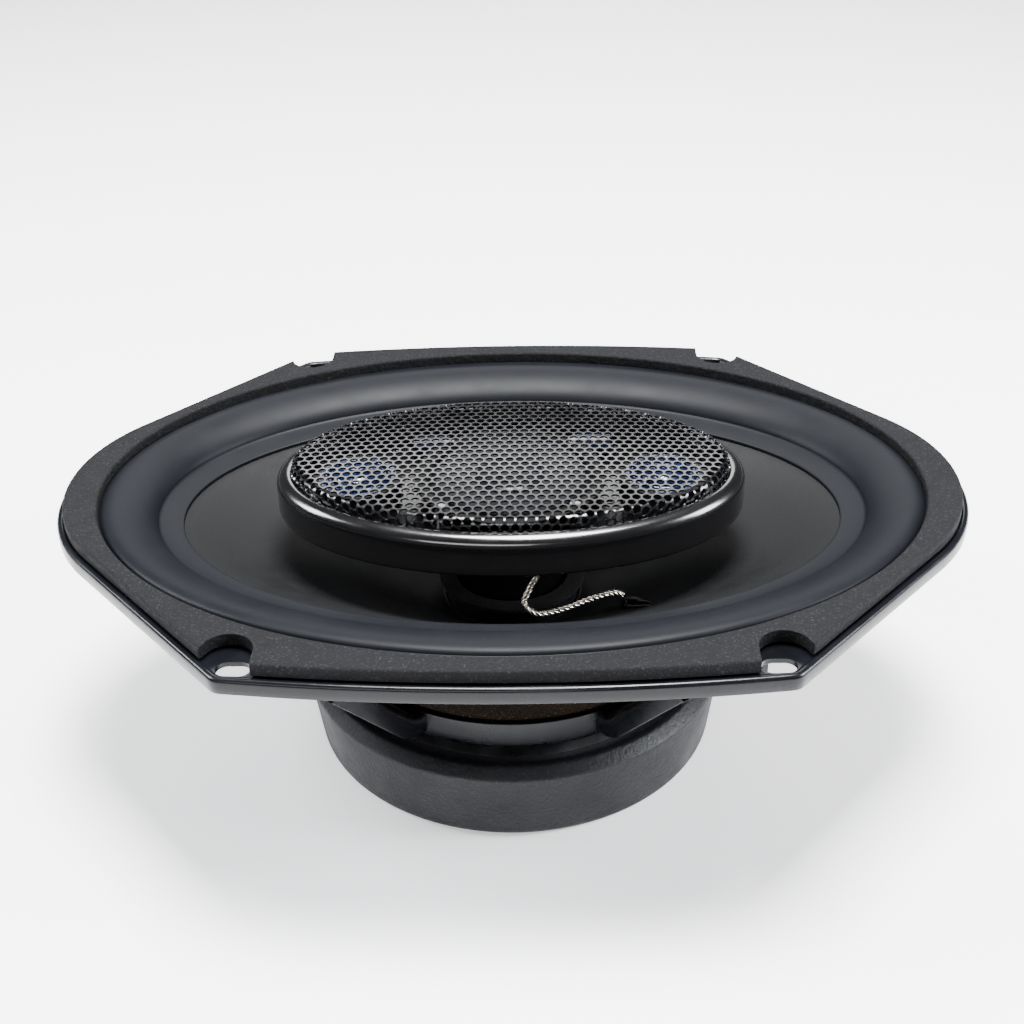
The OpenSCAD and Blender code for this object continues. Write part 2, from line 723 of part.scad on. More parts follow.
module midrange_frame() color("#202124") difference() {
    rotate_extrude() polygon([
        [mid_magnet_radius + 0.05, mid_magnet_z + 1], [13.6, mid_magnet_z + 1], [20.6, midrange_seat],
        [midrange_radius, midrange_seat], [midrange_radius, mid_edge_z], [20.8, mid_edge_z],
        [13.6, mid_magnet_z + 1.9], [mid_magnet_radius + 0.05, mid_magnet_z + 1.9]]);
    at_bosses() rod(screw_radius + 0.1, mid_magnet_z, mid_edge_z + cut);
    for (k = [0 : 3]) rotate([0, 0, 90 * k]) translate([16.8, 0, mid_magnet_z]) cylinder(h = 8, r = 2);
}

module midrange_screws() color("#b9bcc0") at_bosses() {
    rod(screw_radius, pod_floor_top + 2, mid_edge_z + 0.1);
    rod(screw_head, mid_edge_z, mid_edge_z + 0.7);
}

mid_roll = 20.9;  // radius of the midrange's small roll
module midrange_surround() color("#17181a") rotate_extrude() difference() {
    union() {
        translate([mid_roll, mid_edge_z + 0.05]) circle(r = 1);
        translate([mid_roll, mid_edge_z + 0.05])
            square([boss_reach - screw_head - 0.1 - mid_roll, 0.4]);
    }
    translate([mid_roll, mid_edge_z + 0.05]) circle(r = 0.6);
    translate([mid_roll - 2, mid_edge_z - 1.95]) square([4, 2]);
}

// Quarter arcs of a domed cap, out along its top and back along its underside
cap_steps = 6;
function cap_line(r, z, rise, wall, under_rise) =
    let (t = [for (i = [0 : cap_steps]) 90 * i / cap_steps])
    concat([for (a = t) [r * cos(a), z + rise * sin(a)]],
        [for (i = [cap_steps : -1 : 0])
            [(r - wall) * cos(t[i]), z + under_rise[0] + under_rise[1] * sin(t[i])]]);

module midrange_cone() color("#24262b") rotate_extrude() {
    polygon([[8.9, mid_neck_z], [9.7, mid_neck_z], [mid_cone_radius, mid_edge_z - 0.1],
        [mid_cone_radius, mid_edge_z + 0.3], [9.5, mid_neck_z + 0.5], [8.9, mid_neck_z + 0.5]]);
    polygon(cap_line(9.2, mid_neck_z + 0.4, 2.2, 0.3, [-0.3, 2]));
}

module midrange_coil() color("#a4552a") tube(8.9, 9.5, mid_coil_z, mid_neck_z);

// ---- tweeters, left and right in the pod ----

tweeter_top = pod_floor_top + 6.5;
tweeter_magnet_z = pod_floor_top + 1;
tweeter_pot_top = tweeter_magnet_z + 3.8;
dome_foot = tweeter_top - 0.2;
module at_tweeter(side) translate([side * tweeter_x, 0, 0]) children();

module tweeter_housing() color("#1a1b1e") rotate_extrude() polygon([
    [0, pod_floor_top], [tweeter_radius, pod_floor_top], [tweeter_radius, tweeter_top],
    [dome_radius + 0.9, tweeter_top], [dome_radius + 0.9, tweeter_top - 0.9],
    [tweeter_radius - 1.6, tweeter_top - 0.9], [tweeter_radius - 1.6, tweeter_magnet_z],
    [0, tweeter_magnet_z]]);

module tweeter_magnet() color("#9a9ca0") difference() {
    rod(tweeter_radius - 1.7, tweeter_magnet_z, tweeter_pot_top);
    tube(dome_radius - 0.9, dome_radius + 0.7, tweeter_magnet_z + 0.9, tweeter_pot_top + cut);
}

module tweeter_coil() color("#a4552a")
    tube(dome_radius - 0.4, dome_radius, tweeter_magnet_z + 1.6, dome_foot);

dome_wall = 0.35;
module tweeter_dome() color("#2f6fc0") rotate_extrude()
    polygon(concat(
        cap_line(dome_radius, dome_foot + dome_wall, dome_rise, dome_wall, [0, dome_rise - dome_wall]),
        [[dome_radius - dome_wall, dome_foot], [dome_radius + 0.4, dome_foot],
         [dome_radius + 0.4, dome_foot + dome_wall]]));

module tweeter_suspension() color("#2a4f8a") rotate_extrude() difference() {
    union() {
        translate([dome_radius + 1.2, tweeter_top + 0.05]) circle(r = 0.7, $fn = 32);
        translate([dome_radius + 1.5, tweeter_top + 0.05]) square([1.6, 0.3]);
    }
    translate([dome_radius + 1.2, tweeter_top + 0.05]) circle(r = 0.4, $fn = 32);
    translate([dome_radius, tweeter_top - 1.95]) square([4, 2]);
}

module tweeter_housing_left() at_tweeter(-1) tweeter_housing();
module tweeter_magnet_left() at_tweeter(-1) tweeter_magnet();
module tweeter_suspension_left() at_tweeter(-1) tweeter_suspension();
module tweeter_dome_left() at_tweeter(-1) tweeter_dome();
module tweeter_coil_left() at_tweeter(-1) tweeter_coil();
module tweeter_housing_right() at_tweeter(1) tweeter_housing();
module tweeter_magnet_right() at_tweeter(1) tweeter_magnet();
module tweeter_suspension_right() at_tweeter(1) tweeter_suspension();
module tweeter_dome_right() at_tweeter(1) tweeter_dome();
module tweeter_coil_right() at_tweeter(1) tweeter_coil();

capacitor_radius = 3;
module crossover_capacitors() color("#24457a") for (side = [-1, 1])
    translate([side * 22, 22.5, pod_floor_top + capacitor_radius + 0.1]) rotate([0, 90, 0])
        cylinder(h = 10, r = capacitor_radius, center = true);

// ---- terminals ----

board_gap = 0.05;
blade_y = 11.5;
lug_height = 5;
module terminal_board() color("#7a4a22") on_terminal_arm() difference() {
    translate([-board_length / 2, -board_width / 2, -board_gap - board_height])
        cube([board_length, board_width, board_height]);
    for (s = [-1, 1]) translate([s * rivet_pitch / 2, 0, 0]) rod(rivet_hole, -board_height - cut, cut);
    for (side = [-1, 1]) translate([0, side * (blade_y + 1.6), -board_height / 2])
        cube([blade_sheet + 0.2, 2.2, board_height + cut], center = true);
}

module terminal_tabs() color("#c9a24a") on_terminal_arm() for (side = [-1, 1]) {
    foot = -board_gap - board_height;
    translate([-blade_sheet / 2, side * blade_y - blade_width / 2, foot - blade_length])
        cube([blade_sheet, blade_width, blade_length - 0.05]);
    translate([-blade_sheet / 2, side * (blade_y + 1.6) - 1, foot - 1])
        cube([blade_sheet, 2, lug_height - foot + 1]);
}

module terminal_rivets() color("#b9bcc0") on_terminal_arm() for (s = [-1, 1])
    translate([s * rivet_pitch / 2, 0, 0]) {
        low = -board_gap - board_height;
        rod(rivet_shank, low - 0.5, basket_sheet + 0.5);
        rod(2.6, basket_sheet + 0.02, basket_sheet + 0.9);
        rod(2.6, low - 0.9, low - 0.02);
    }

// ---- wires: routes are round numbers, one side; the other side is the mirror image ----

front_route = [[5, -13.5, -4], [7.4, -18.6, -8.4], [5, -24, -11], [3.6, -27, -13.6], [7, -28, -16],
    [14, -26, -15.8], [21, -22.8, -14.9], [26.4, -21.2, -14.4], [29, -21, -15.3]];
rear_route = [[30.6, -21.6, -21], [32, -22, -24.6], [38, -21.6, -27.6], [47, -19, -28.6],
    [55, -15.6, -27.4], [61, -13.8, -25.4], [62.6, -13.2, -24.6]];
pod_route = [[1.6, -1.6, -4.5], [1.6, -1.7, -0.9], [2.2, -2, 0.4], [4, -2.8, 0.6], [7, -3.8, 0.6],
    [12, -4, 0.6], [20, -4, 0.6], [27.6, -3.6, 0.8]];  // above the pod's floor

function mirrored(pts) = [for (p = pts) [p.x, -p.y, p.z]];
function turned(pts) = [for (p = pts) [-p.x, -p.y, p.z]];

module front_lead_near() color("#c08a5a") wire(front_route, lead_diameter);
module front_lead_far() color("#c08a5a") wire(mirrored(front_route), lead_diameter);
module rear_lead_near() color("#c08a5a") wire(rear_route, lead_diameter);
module rear_lead_far() color("#c08a5a") wire(mirrored(rear_route), lead_diameter);
module pod_wires() color("#a02020") translate([0, 0, pod_floor_top]) {
    wire(pod_route, wire_diameter);
    wire(turned(pod_route), wire_diameter);
}

basket();
front_gasket();
surround();
spider_ring();
spider();
basket_rivets();
top_plate();
magnet();
t_yoke();
magnet_cover();
center_post();
post_bolt();
post_washer();
cone();
voice_coil_former();
voice_coil();
dust_ring();
lead_eyelets();
lead_glue_dabs();
pod_housing();
pod_grille();
midrange_frame();
midrange_screws();
midrange_surround();
midrange_magnet();
midrange_cone();
midrange_coil();
tweeter_housing_left();
tweeter_magnet_left();
tweeter_suspension_left();
tweeter_dome_left();
tweeter_coil_left();
tweeter_housing_right();
tweeter_magnet_right();
tweeter_suspension_right();
tweeter_dome_right();
tweeter_coil_right();
crossover_capacitors();
pod_wires();
terminal_board();
terminal_tabs();
terminal_rivets();
front_lead_near();
front_lead_far();
rear_lead_near();
rear_lead_far();
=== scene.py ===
"""Oval coaxial car speaker: the look of every piece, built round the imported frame."""

import json
import math

import bmesh
import bpy
import numpy as np
from bpy.props import FloatProperty, FloatVectorProperty, IntProperty, PointerProperty
from mathutils import Matrix, Vector


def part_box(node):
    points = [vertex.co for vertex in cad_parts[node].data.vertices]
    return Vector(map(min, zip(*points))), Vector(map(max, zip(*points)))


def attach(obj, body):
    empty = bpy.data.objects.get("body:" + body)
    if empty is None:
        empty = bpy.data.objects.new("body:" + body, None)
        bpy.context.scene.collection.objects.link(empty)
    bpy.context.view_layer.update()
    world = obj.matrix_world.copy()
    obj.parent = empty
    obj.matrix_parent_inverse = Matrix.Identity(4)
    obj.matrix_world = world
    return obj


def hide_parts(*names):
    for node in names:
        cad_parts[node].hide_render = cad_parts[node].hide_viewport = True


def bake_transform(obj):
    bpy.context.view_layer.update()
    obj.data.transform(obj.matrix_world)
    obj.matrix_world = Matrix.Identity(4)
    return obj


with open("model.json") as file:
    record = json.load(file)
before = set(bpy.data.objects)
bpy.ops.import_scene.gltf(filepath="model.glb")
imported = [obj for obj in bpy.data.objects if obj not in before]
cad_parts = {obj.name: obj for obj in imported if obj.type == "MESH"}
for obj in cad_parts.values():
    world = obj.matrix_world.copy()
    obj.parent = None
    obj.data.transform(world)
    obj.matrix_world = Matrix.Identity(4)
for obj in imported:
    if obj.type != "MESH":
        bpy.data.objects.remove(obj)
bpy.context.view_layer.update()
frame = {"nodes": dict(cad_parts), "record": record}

bl_info = {
    "name": "Coaxial Speaker",
    "version": (1, 0, 0),
    "blender": (4, 5, 0),
    "location": "View3D > Sidebar > Speaker",
    "description": "Builds an oval coaxial car speaker and its stage",
    "category": "Add Mesh",
}

MM = 0.001
FULL_TURN = 2 * math.pi
SMOOTH = math.radians(32)
STATIONS = 288  # points round an oval
SPECK_EDGE = 0.12  # width of a speck's soft edge, in the noise's value


def high(node):
    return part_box(node)[1] / MM


def low(node):
    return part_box(node)[0] / MM


HALF_LENGTH, HALF_WIDTH = high("basket").x, high("basket").y
LIP_TOP = low("front_gasket").z
SEAT_Z = low("basket").z
NECK_Z = low("cone").z


# ---- sizes and colours that a user would change -------------------------------------------------

def length(name, description, millimetres):
    return FloatProperty(name=name, description=description, default=millimetres * MM,
                         unit="LENGTH", precision=5)


def degrees(name, description, value):
    return FloatProperty(name=name, description=description, default=math.radians(value), subtype="ANGLE")


def colour(name, description, value):
    return FloatVectorProperty(name=name, description=description, default=value,
                               subtype="COLOR", min=0, max=1)


class SpeakerFlange(bpy.types.PropertyGroup):
    end_radius: length("End radius", "Radius of the rounded ends", 51)
    side_radius: length("Side radius", "Radius of the bowed long sides", 480)
    chamfer: degrees("Chamfer", "Direction of a corner chamfer's normal", 41.5)
    corner: length("Corner", "Blend between a long side and a chamfer", 4)
    rim_round: length("Rim rounding", "Rounding of the folded rim's top edge", 1.1)
    wall_inset: length("Wall inset", "From the flange edge to the inside of the oval wall", 13)
    slot_x: length("Slot X", "Distance of a slot from the short axis", 60)
    slot_y: length("Slot Y", "Distance of a slot from the long axis", 76.5)


class SpeakerSurround(bpy.types.PropertyGroup):
    foot_inset: length("Foot inset", "From the flange edge to the roll's outer foot", 11.2)
    roll_width: length("Roll width", "Width of the half roll", 14.5)
    roll_rise: length("Roll rise", "Rise of the roll above the line between its feet", 3.1)
    drop: length("Drop", "How far the inner foot lies below the outer foot", 4.6)
    glue_width: length("Glue lip", "Width of the lip on the cone", 6.4)
    glue_fall: length("Glue lip fall", "Fall of the lip on the cone towards the middle", 1.2)


class SpeakerGrille(bpy.types.PropertyGroup):
    pitch: length("Pitch", "Distance between neighbouring holes", 2.6)
    hole: length("Hole", "Diameter of a hole in the flat blank", 2.22)
    bend: length("Bend", "Radius of the shoulder", 2.2)
    dome: length("Dome", "Rise of the middle above the shoulder", 1.4)
    sheet: length("Sheet", "Thickness of the steel", 0.5)
    turn: degrees("Turn", "Turn of the hole rows from the long axis", 1.0)


class SpeakerLeads(bpy.types.PropertyGroup):
    diameter: length("Diameter", "Diameter of a braided lead", 1.8)
    twist: length("Twist", "Length of one turn of the strands", 5.6)
    strands: IntProperty(name="Strands", description="Strands in a lead", default=4, min=3, max=12)


class SpeakerColours(bpy.types.PropertyGroup):
    paint: colour("Paint", "Basket paint", (0.0030, 0.0033, 0.0045))
    foam: colour("Foam", "Front gasket", (0.0050, 0.0050, 0.0058))
    rubber: colour("Rubber", "Surround", (0.0040, 0.0045, 0.0060))
    cone: colour("Cone", "Cone paper", (0.0032, 0.0033, 0.0038))
    plastic: colour("Plastic", "Pod and post", (0.0010, 0.0010, 0.0014))
    grille: colour("Grille", "Grille steel", (0.0012, 0.0012, 0.0018))
    dome: colour("Dome", "Tweeter domes", (0.0015, 0.007, 0.040))
    # painted shade: the spider cloth's colour is set far darker than its own golden brown, to stand for the shade
    # it lies in deep in the basket
    cloth: colour("Cloth", "Spider cloth", (0.040, 0.019, 0.005))


class SpeakerStage(bpy.types.PropertyGroup):
    azimuth: degrees("Azimuth", "Camera's turn from the front", 1.5)
    elevation: degrees("Elevation", "Camera's angle above the flange", 31.13)
    roll: degrees("Roll", "Camera's roll", -1.27)
    distance: length("Distance", "From the camera to its target", 394.7)
    lens: FloatProperty(name="Lens", description="Focal length in millimetres", default=52.24)
    light: FloatProperty(name="Light", description="Strength of the key light", default=66.0, subtype="POWER")


# ---- finishes -----------------------------------------------------------------------------------

class Nodes:
    """A node tree that is filled by calls: a socket is set to a value, or linked when it is given a socket."""

    def __init__(self, tree):
        self.tree = tree

    def put(self, socket, value):
        if isinstance(value, bpy.types.NodeSocket):
            self.tree.links.new(value, socket)
        else:
            socket.default_value = value

    def give(self, node, **inputs):
        for key, value in inputs.items():
            self.put(node.inputs[key.replace("_", " ")], value)

    def add(self, kind, props=None, **inputs):
        node = self.tree.nodes.new(kind)
        for key, value in (props or {}).items():
            setattr(node, key, value)
        self.give(node, **inputs)
        return node

    def math(self, operation, a, b=0.0):
        node = self.add("ShaderNodeMath", {"operation": operation})
        self.put(node.inputs[0], a)
        self.put(node.inputs[1], b)
        return node.outputs[0]

    def noise(self, place, scale, detail, roughness=0.5):
        return self.add("ShaderNodeTexNoise", Vector=place, Scale=scale, Detail=detail,
                        Roughness=roughness).outputs["Fac"]

    def spread(self, value, low_end, high_end, to=(0.0, 1.0)):
        """Maps a range of the value, clamped, to another range."""
        return self.add("ShaderNodeMapRange", Value=value, From_Min=low_end, From_Max=high_end,
                        To_Min=to[0], To_Max=to[1]).outputs[0]

    def mix(self, factor, a, b):
        """A mix of two colours."""
        node = self.add("ShaderNodeMix", {"data_type": "RGBA"})
        sockets = {s.name: s for s in node.inputs if s.type == "RGBA" or (s.name, s.type) == ("Factor", "VALUE")}
        for key, value in (("Factor", factor), ("A", a), ("B", b)):
            self.put(sockets[key], value)
        return next(s for s in node.outputs if s.type == "RGBA")


def finish(name, base, rough, metal=0.0, coat=0.0, grain=(2500, 0.00002), mottle=(60, 0.25), speckle=None,
           sheen=0.0, stretch=None, rough_spread=0.12, specular=0.5, fine=None):
    """A finish: colour and roughness that drift, a grain in relief and, at will, specks and a finer grain.

    grain and fine are (scale, height in metres), mottle is (scale, share of the colour), speckle is
    (scale, threshold, colour).
    """
    plain = bpy.data.materials.get(name)
    if plain:
        plain.name = name + "_plain"
    material = bpy.data.materials.new(name)
    material.use_nodes = True
    n = Nodes(material.node_tree)
    place = n.add("ShaderNodeTexCoord").outputs["Object"]
    if stretch:
        place = n.add("ShaderNodeMapping", Vector=place, Scale=stretch).outputs[0]
    drift = n.noise(place, mottle[0], 4.0, 0.6)
    grit = n.noise(place, grain[0], 3.0, 0.65)
    dark = tuple(c * (1 - mottle[1]) for c in base) + (1,)
    light = tuple(min(1, c * (1 + mottle[1])) for c in base) + (1,)
    tint = n.mix(n.spread(drift, 0.3, 0.7), dark, light)
    if speckle:
        scale, threshold, speck = speckle
        amount = n.spread(n.noise(place, scale, 2.0), threshold, threshold + SPECK_EDGE)
        tint = n.mix(amount, tint, speck + (1,))
    wear = n.spread(drift, 0.25, 0.75, (max(0.02, rough - rough_spread), min(1.0, rough + rough_spread)))
    bump = n.add("ShaderNodeBump", Height=grit, Strength=1.0, Distance=grain[1]).outputs[0]
    if fine:
        bump = n.add("ShaderNodeBump", Height=n.noise(place, fine[0], 2.0), Strength=1.0, Distance=fine[1],
                     Normal=bump).outputs[0]
    n.give(material.node_tree.nodes["Principled BSDF"], Base_Color=tint, Roughness=wear, Normal=bump,
           Metallic=metal, Coat_Weight=coat, Coat_Roughness=0.12, Sheen_Weight=sheen,
           Specular_IOR_Level=specular)


def make_finishes(c):
    finish("painted_steel", tuple(c.paint), 0.24, specular=0.22, grain=(420, 0.00002), mottle=(45, 0.3),
           fine=(3000, 0.000002))
    finish("gasket_foam", tuple(c.foam), 0.80, grain=(850, 0.00035), mottle=(220, 0.3), rough_spread=0.1,
           specular=0.12, fine=(4200, 0.00008), speckle=(1900, 0.58, (0.019, 0.019, 0.021)))
    finish("surround_rubber", tuple(c.rubber), 0.46, grain=(1800, 0.000012), mottle=(60, 0.1),
           rough_spread=0.06, specular=0.09)
    finish("black_board", (0.012, 0.011, 0.011), 0.8, specular=0.25, grain=(1500, 0.00005))
    # painted shade: the cloth's base colour carries the shade it lies in under the cone; its golden specks are
    # the cloth's own colour
    finish("spider_cloth", tuple(c.cloth), 0.82, grain=(2600, 0.00016), mottle=(120, 0.3), sheen=0.3,
           specular=0.3, speckle=(2400, 0.62, (0.60, 0.38, 0.13)))
    finish("zinc_steel", (0.55, 0.56, 0.58), 0.30, metal=1.0, grain=(900, 0.000012), mottle=(150, 0.12))
    finish("plated_steel", (0.36, 0.36, 0.38), 0.36, metal=1.0, grain=(700, 0.000016), mottle=(80, 0.2))
    finish("ferrite", (0.016, 0.016, 0.018), 0.66, specular=0.3, grain=(1400, 0.00006), mottle=(120, 0.35))
    finish("cover_rubber", (0.0022, 0.0025, 0.0042), 0.50, grain=(900, 0.00022), mottle=(75, 0.15),
           specular=0.30, speckle=(1800, 0.58, (0.012, 0.013, 0.018)))
    finish("post_plastic", tuple(c.plastic), 0.42, specular=0.3, grain=(1600, 0.00002), mottle=(70, 0.25))
    finish("cone_paper", tuple(c.cone), 0.62, grain=(1300, 0.00006), mottle=(160, 0.15), rough_spread=0.06,
           specular=0.16, fine=(3600, 0.00003))
    finish("former_film", (0.004, 0.004, 0.005), 0.40, grain=(900, 0.00001), mottle=(100, 0.2))
    finish("copper_wire", (0.62, 0.25, 0.11), 0.32, metal=1.0, grain=(3000, 0.00003), mottle=(200, 0.2),
           stretch=(1, 1, 8))
    finish("felt", (0.0055, 0.0055, 0.0062), 0.95, grain=(2200, 0.00025), mottle=(300, 0.4), sheen=0.04,
           specular=0.15, speckle=(1500, 0.62, (0.012, 0.012, 0.013)))
    finish("brass_trim", (0.72, 0.53, 0.20), 0.28, metal=1.0, grain=(1500, 0.000012), mottle=(150, 0.18))
    finish("black_glue", (0.003, 0.003, 0.0035), 0.16, grain=(420, 0.00006), mottle=(90, 0.2),
           rough_spread=0.05)
    finish("pod_plastic", tuple(c.plastic), 0.21, specular=0.62, coat=0.5, grain=(1500, 0.000008),
           mottle=(60, 0.25), rough_spread=0.06)
    finish("grille_metal", tuple(c.grille), 0.24, grain=(1200, 0.000010), mottle=(90, 0.2),
           rough_spread=0.06, specular=0.7)
    finish("midrange_film", (0.006, 0.007, 0.010), 0.30, specular=0.3, grain=(700, 0.00001), mottle=(80, 0.2))
    finish("tweeter_film", tuple(c.dome), 0.20, metal=0.2, coat=0.5, grain=(2200, 0.00001), mottle=(200, 0.2))
    finish("capacitor_film", (0.003, 0.008, 0.025), 0.35, specular=0.3, grain=(400, 0.00002),
           mottle=(100, 0.2))
    finish("wire_sleeve", (0.020, 0.004, 0.004), 0.45, grain=(1500, 0.00001), mottle=(90, 0.2))
    finish("phenolic_board", (0.17, 0.075, 0.03), 0.5, grain=(1700, 0.00002), mottle=(140, 0.3),
           speckle=(800, 0.62, (0.24, 0.13, 0.06)))
    finish("copper_braid", (0.86, 0.78, 0.70), 0.24, metal=1.0, grain=(3500, 0.00002), mottle=(700, 0.2))


# ---- meshes -------------------------------------------------------------------------------------

def shade(mesh, smooth=SMOOTH):
    """Smooth shading, but for the edges past an angle."""
    mesh.shade_smooth()
    mesh.set_sharp_from_angle(angle=smooth)


def new_piece(name, mesh, material, smooth=SMOOTH):
    obj = bpy.data.objects.new(name, mesh)
    bpy.context.scene.collection.objects.link(obj)
    mesh.materials.clear()
    mesh.materials.append(bpy.data.materials[material])
    shade(mesh, smooth)
    return obj


def skin(name, points, faces, material, smooth=SMOOTH):
    """A closed skin from points in millimetres."""
    mesh = bpy.data.meshes.new(name)
    mesh.from_pydata([tuple(p) for p in np.asarray(points, float) * MM], [], faces)
    work = bmesh.new()
    work.from_mesh(mesh)
    bmesh.ops.remove_doubles(work, verts=work.verts, dist=1e-7)
    bmesh.ops.recalc_face_normals(work, faces=work.faces)
    work.to_mesh(mesh)
    work.free()
    return new_piece(name, mesh, material, smooth)


def rings(rows, closed):
    """Points and faces of rings of the same count, joined in order, and the last to the first where closed."""
    rows = [np.asarray(r, float) for r in rows]
    count, steps = len(rows[0]), len(rows)
    faces = []
    for r in range(steps if closed else steps - 1):
        a, b = r * count, (r + 1) % steps * count
        faces += [(a + i, a + (i + 1) % count, b + (i + 1) % count, b + i) for i in range(count)]
    return np.vstack(rows), faces


def rounded(profile, radius, steps=3):
    """A closed profile with its corners rounded; a third number on a corner is that corner's own radius."""
    out = []
    for k, corner in enumerate(profile):
        here = np.array(corner[:2], float)
        before = np.array(profile[k - 1][:2], float) - here
        after = np.array(profile[(k + 1) % len(profile)][:2], float) - here
        r = corner[2] if len(corner) > 2 else radius
        r = min(r, 0.45 * np.linalg.norm(before), 0.45 * np.linalg.norm(after))
        if r <= 1e-4:
            out.append(here)
            continue
        start = here + before / np.linalg.norm(before) * r
        end = here + after / np.linalg.norm(after) * r
        for i in range(steps + 1):
            t = i / steps
            out.append((1 - t) ** 2 * start + 2 * t * (1 - t) * here + t * t * end)
    return out


def turned(name, profile, material, centre=(0, 0), radius=0.3, count=128, steps=3, smooth=SMOOTH):
    """A closed ring turned round Z from a profile of (radius, height)."""
    angles = np.arange(count) * FULL_TURN / count
    around = np.column_stack([np.cos(angles), np.sin(angles), np.zeros(count)])
    rows = [around * r + (centre[0], centre[1], z) for r, z in rounded(profile, radius, steps)]
    points, faces = rings(rows, True)
    return skin(name, points, faces, material, smooth)


def oval_row(a, b, z, count=STATIONS):
    angles = np.arange(count) * FULL_TURN / count
    return np.column_stack([a * np.cos(angles), b * np.sin(angles), np.full(count, z)])


def oval_ring(name, a, b, profile, material, smooth=SMOOTH):
    """A closed ring round the oval (a, b): each profile point is (inset, height)."""
    points, faces = rings([oval_row(a - d, b - d, z) for d, z in profile], True)
    return skin(name, points, faces, material, smooth)


def curve_through(points, steps):
    """Catmull-Rom curve through points, as the frame's own wires follow."""
    pts = [np.array(p, float) for p in points]
    last = len(pts) - 1
    out = []
    for i in range(last):
        p, q, r, s = pts[max(i - 1, 0)], pts[i], pts[i + 1], pts[min(i + 2, last)]
        for j in range(steps):
            t = j / steps
            out.append(0.5 * (2 * q + (r - p) * t + (2 * p - 5 * q + 4 * r - s) * t * t
                              + (3 * q - p - 3 * r + s) * t ** 3))
    return out + [pts[last]]


def cut_away(obj, cutter):
    """Takes the cutter's solid out of the piece and shades it again."""
    modifier = obj.modifiers.new("cut", "BOOLEAN")
    modifier.operation, modifier.solver, modifier.object = "DIFFERENCE", "EXACT", cutter
    settle(obj)
    bpy.data.objects.remove(cutter)
    shade(obj.data)


def settle(obj):
    """Turns what the modifiers make into the piece's own mesh."""
    materials = list(obj.data.materials)
    evaluated = obj.evaluated_get(bpy.context.evaluated_depsgraph_get())
    mesh = bpy.data.meshes.new_from_object(evaluated)
    old = obj.data
    obj.modifiers.clear()
    obj.data = mesh
    mesh.name = old.name
    if not [m for m in mesh.materials if m]:
        mesh.materials.clear()
        for material in materials:
            mesh.materials.append(material)
    return obj


def bevel(obj, width, steps=2, angle=35):
    modifier = obj.modifiers.new("bevel", "BEVEL")
    modifier.width, modifier.segments = width * MM, steps
    modifier.limit_method, modifier.angle_limit = "ANGLE", math.radians(angle)
    modifier.harden_normals = False
    settle(obj)
    shade(obj.data)


def softened(node, name, width, material, steps=2):
    """A copy of a CAD node with its edges broken, which stands for it."""
    mesh = frame["nodes"][node].data.copy()
    work = bmesh.new()
    work.from_mesh(mesh)
    bmesh.ops.remove_doubles(work, verts=work.verts, dist=1e-6)
    bmesh.ops.dissolve_limit(work, angle_limit=math.radians(0.4), verts=work.verts, edges=work.edges)
    work.to_mesh(mesh)
    work.free()
    obj = new_piece(name, mesh, material)
    if width:
        bevel(obj, width, steps)
    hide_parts(node)
    return obj


def own(obj, body, material, *nodes):
    """Gives a finished piece its body and hides the CAD nodes that it stands for."""
    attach(obj, body)
    if nodes:
        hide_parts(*nodes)
    return obj


def stretches(obj, still, moving, weigh, material, *nodes):
    """A soft piece between two bodies, baked where it stands: weigh turns its points, in millimetres, into shares
    of the moving body, but the shares are not given to the piece, so it does not stretch; the CAD nodes it stands
    for are hidden.
    """
    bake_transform(obj)
    co = np.empty(len(obj.data.vertices) * 3)
    obj.data.vertices.foreach_get("co", co)
    share = np.clip(weigh(co.reshape(-1, 3) / MM), 0, 1)
    if nodes:
        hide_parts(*nodes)
    return obj


def ease(t):
    t = np.clip(t, 0, 1)
    return t * t * (3 - 2 * t)


# ---- Geometry Nodes -----------------------------------------------------------------------------

def new_tree(name, inputs):
    """A Geometry Nodes tree with named inputs; returns its nodes, its input sockets and its output node."""
    tree = bpy.data.node_groups.new(name, "GeometryNodeTree")
    tree.interface.new_socket("Geometry", in_out="INPUT", socket_type="NodeSocketGeometry")
    for key, kind in inputs:
        tree.interface.new_socket(key, in_out="INPUT", socket_type="NodeSocket" + kind)
    tree.interface.new_socket("Geometry", in_out="OUTPUT", socket_type="NodeSocketGeometry")
    n = Nodes(tree)
    given = n.add("NodeGroupInput")
    return n, {s.name: s for s in given.outputs if s.name}, n.add("NodeGroupOutput")


def end_tree(n, geometry, given, out):
    """Gives a tree's result its material and sends it to the output."""
    done = n.add("GeometryNodeSetMaterial", Geometry=geometry, Material=given["Material"]).outputs[0]
    n.put(out.inputs[0], done)
    return n


def run_tree(name, n, values, material, mesh=None):
    """Runs a tree on a new object and keeps the result as a plain mesh."""
    obj = bpy.data.objects.new(name, mesh or bpy.data.meshes.new(name))
    bpy.context.scene.collection.objects.link(obj)
    modifier = obj.modifiers.new("make", "NODES")
    modifier.node_group = n.tree
    for item in n.tree.interface.items_tree:
        if item.item_type == "SOCKET" and item.in_out == "INPUT" and item.name in values:
            modifier[item.identifier] = values[item.name]
    obj.data.materials.append(bpy.data.materials[material])
    return settle(obj)


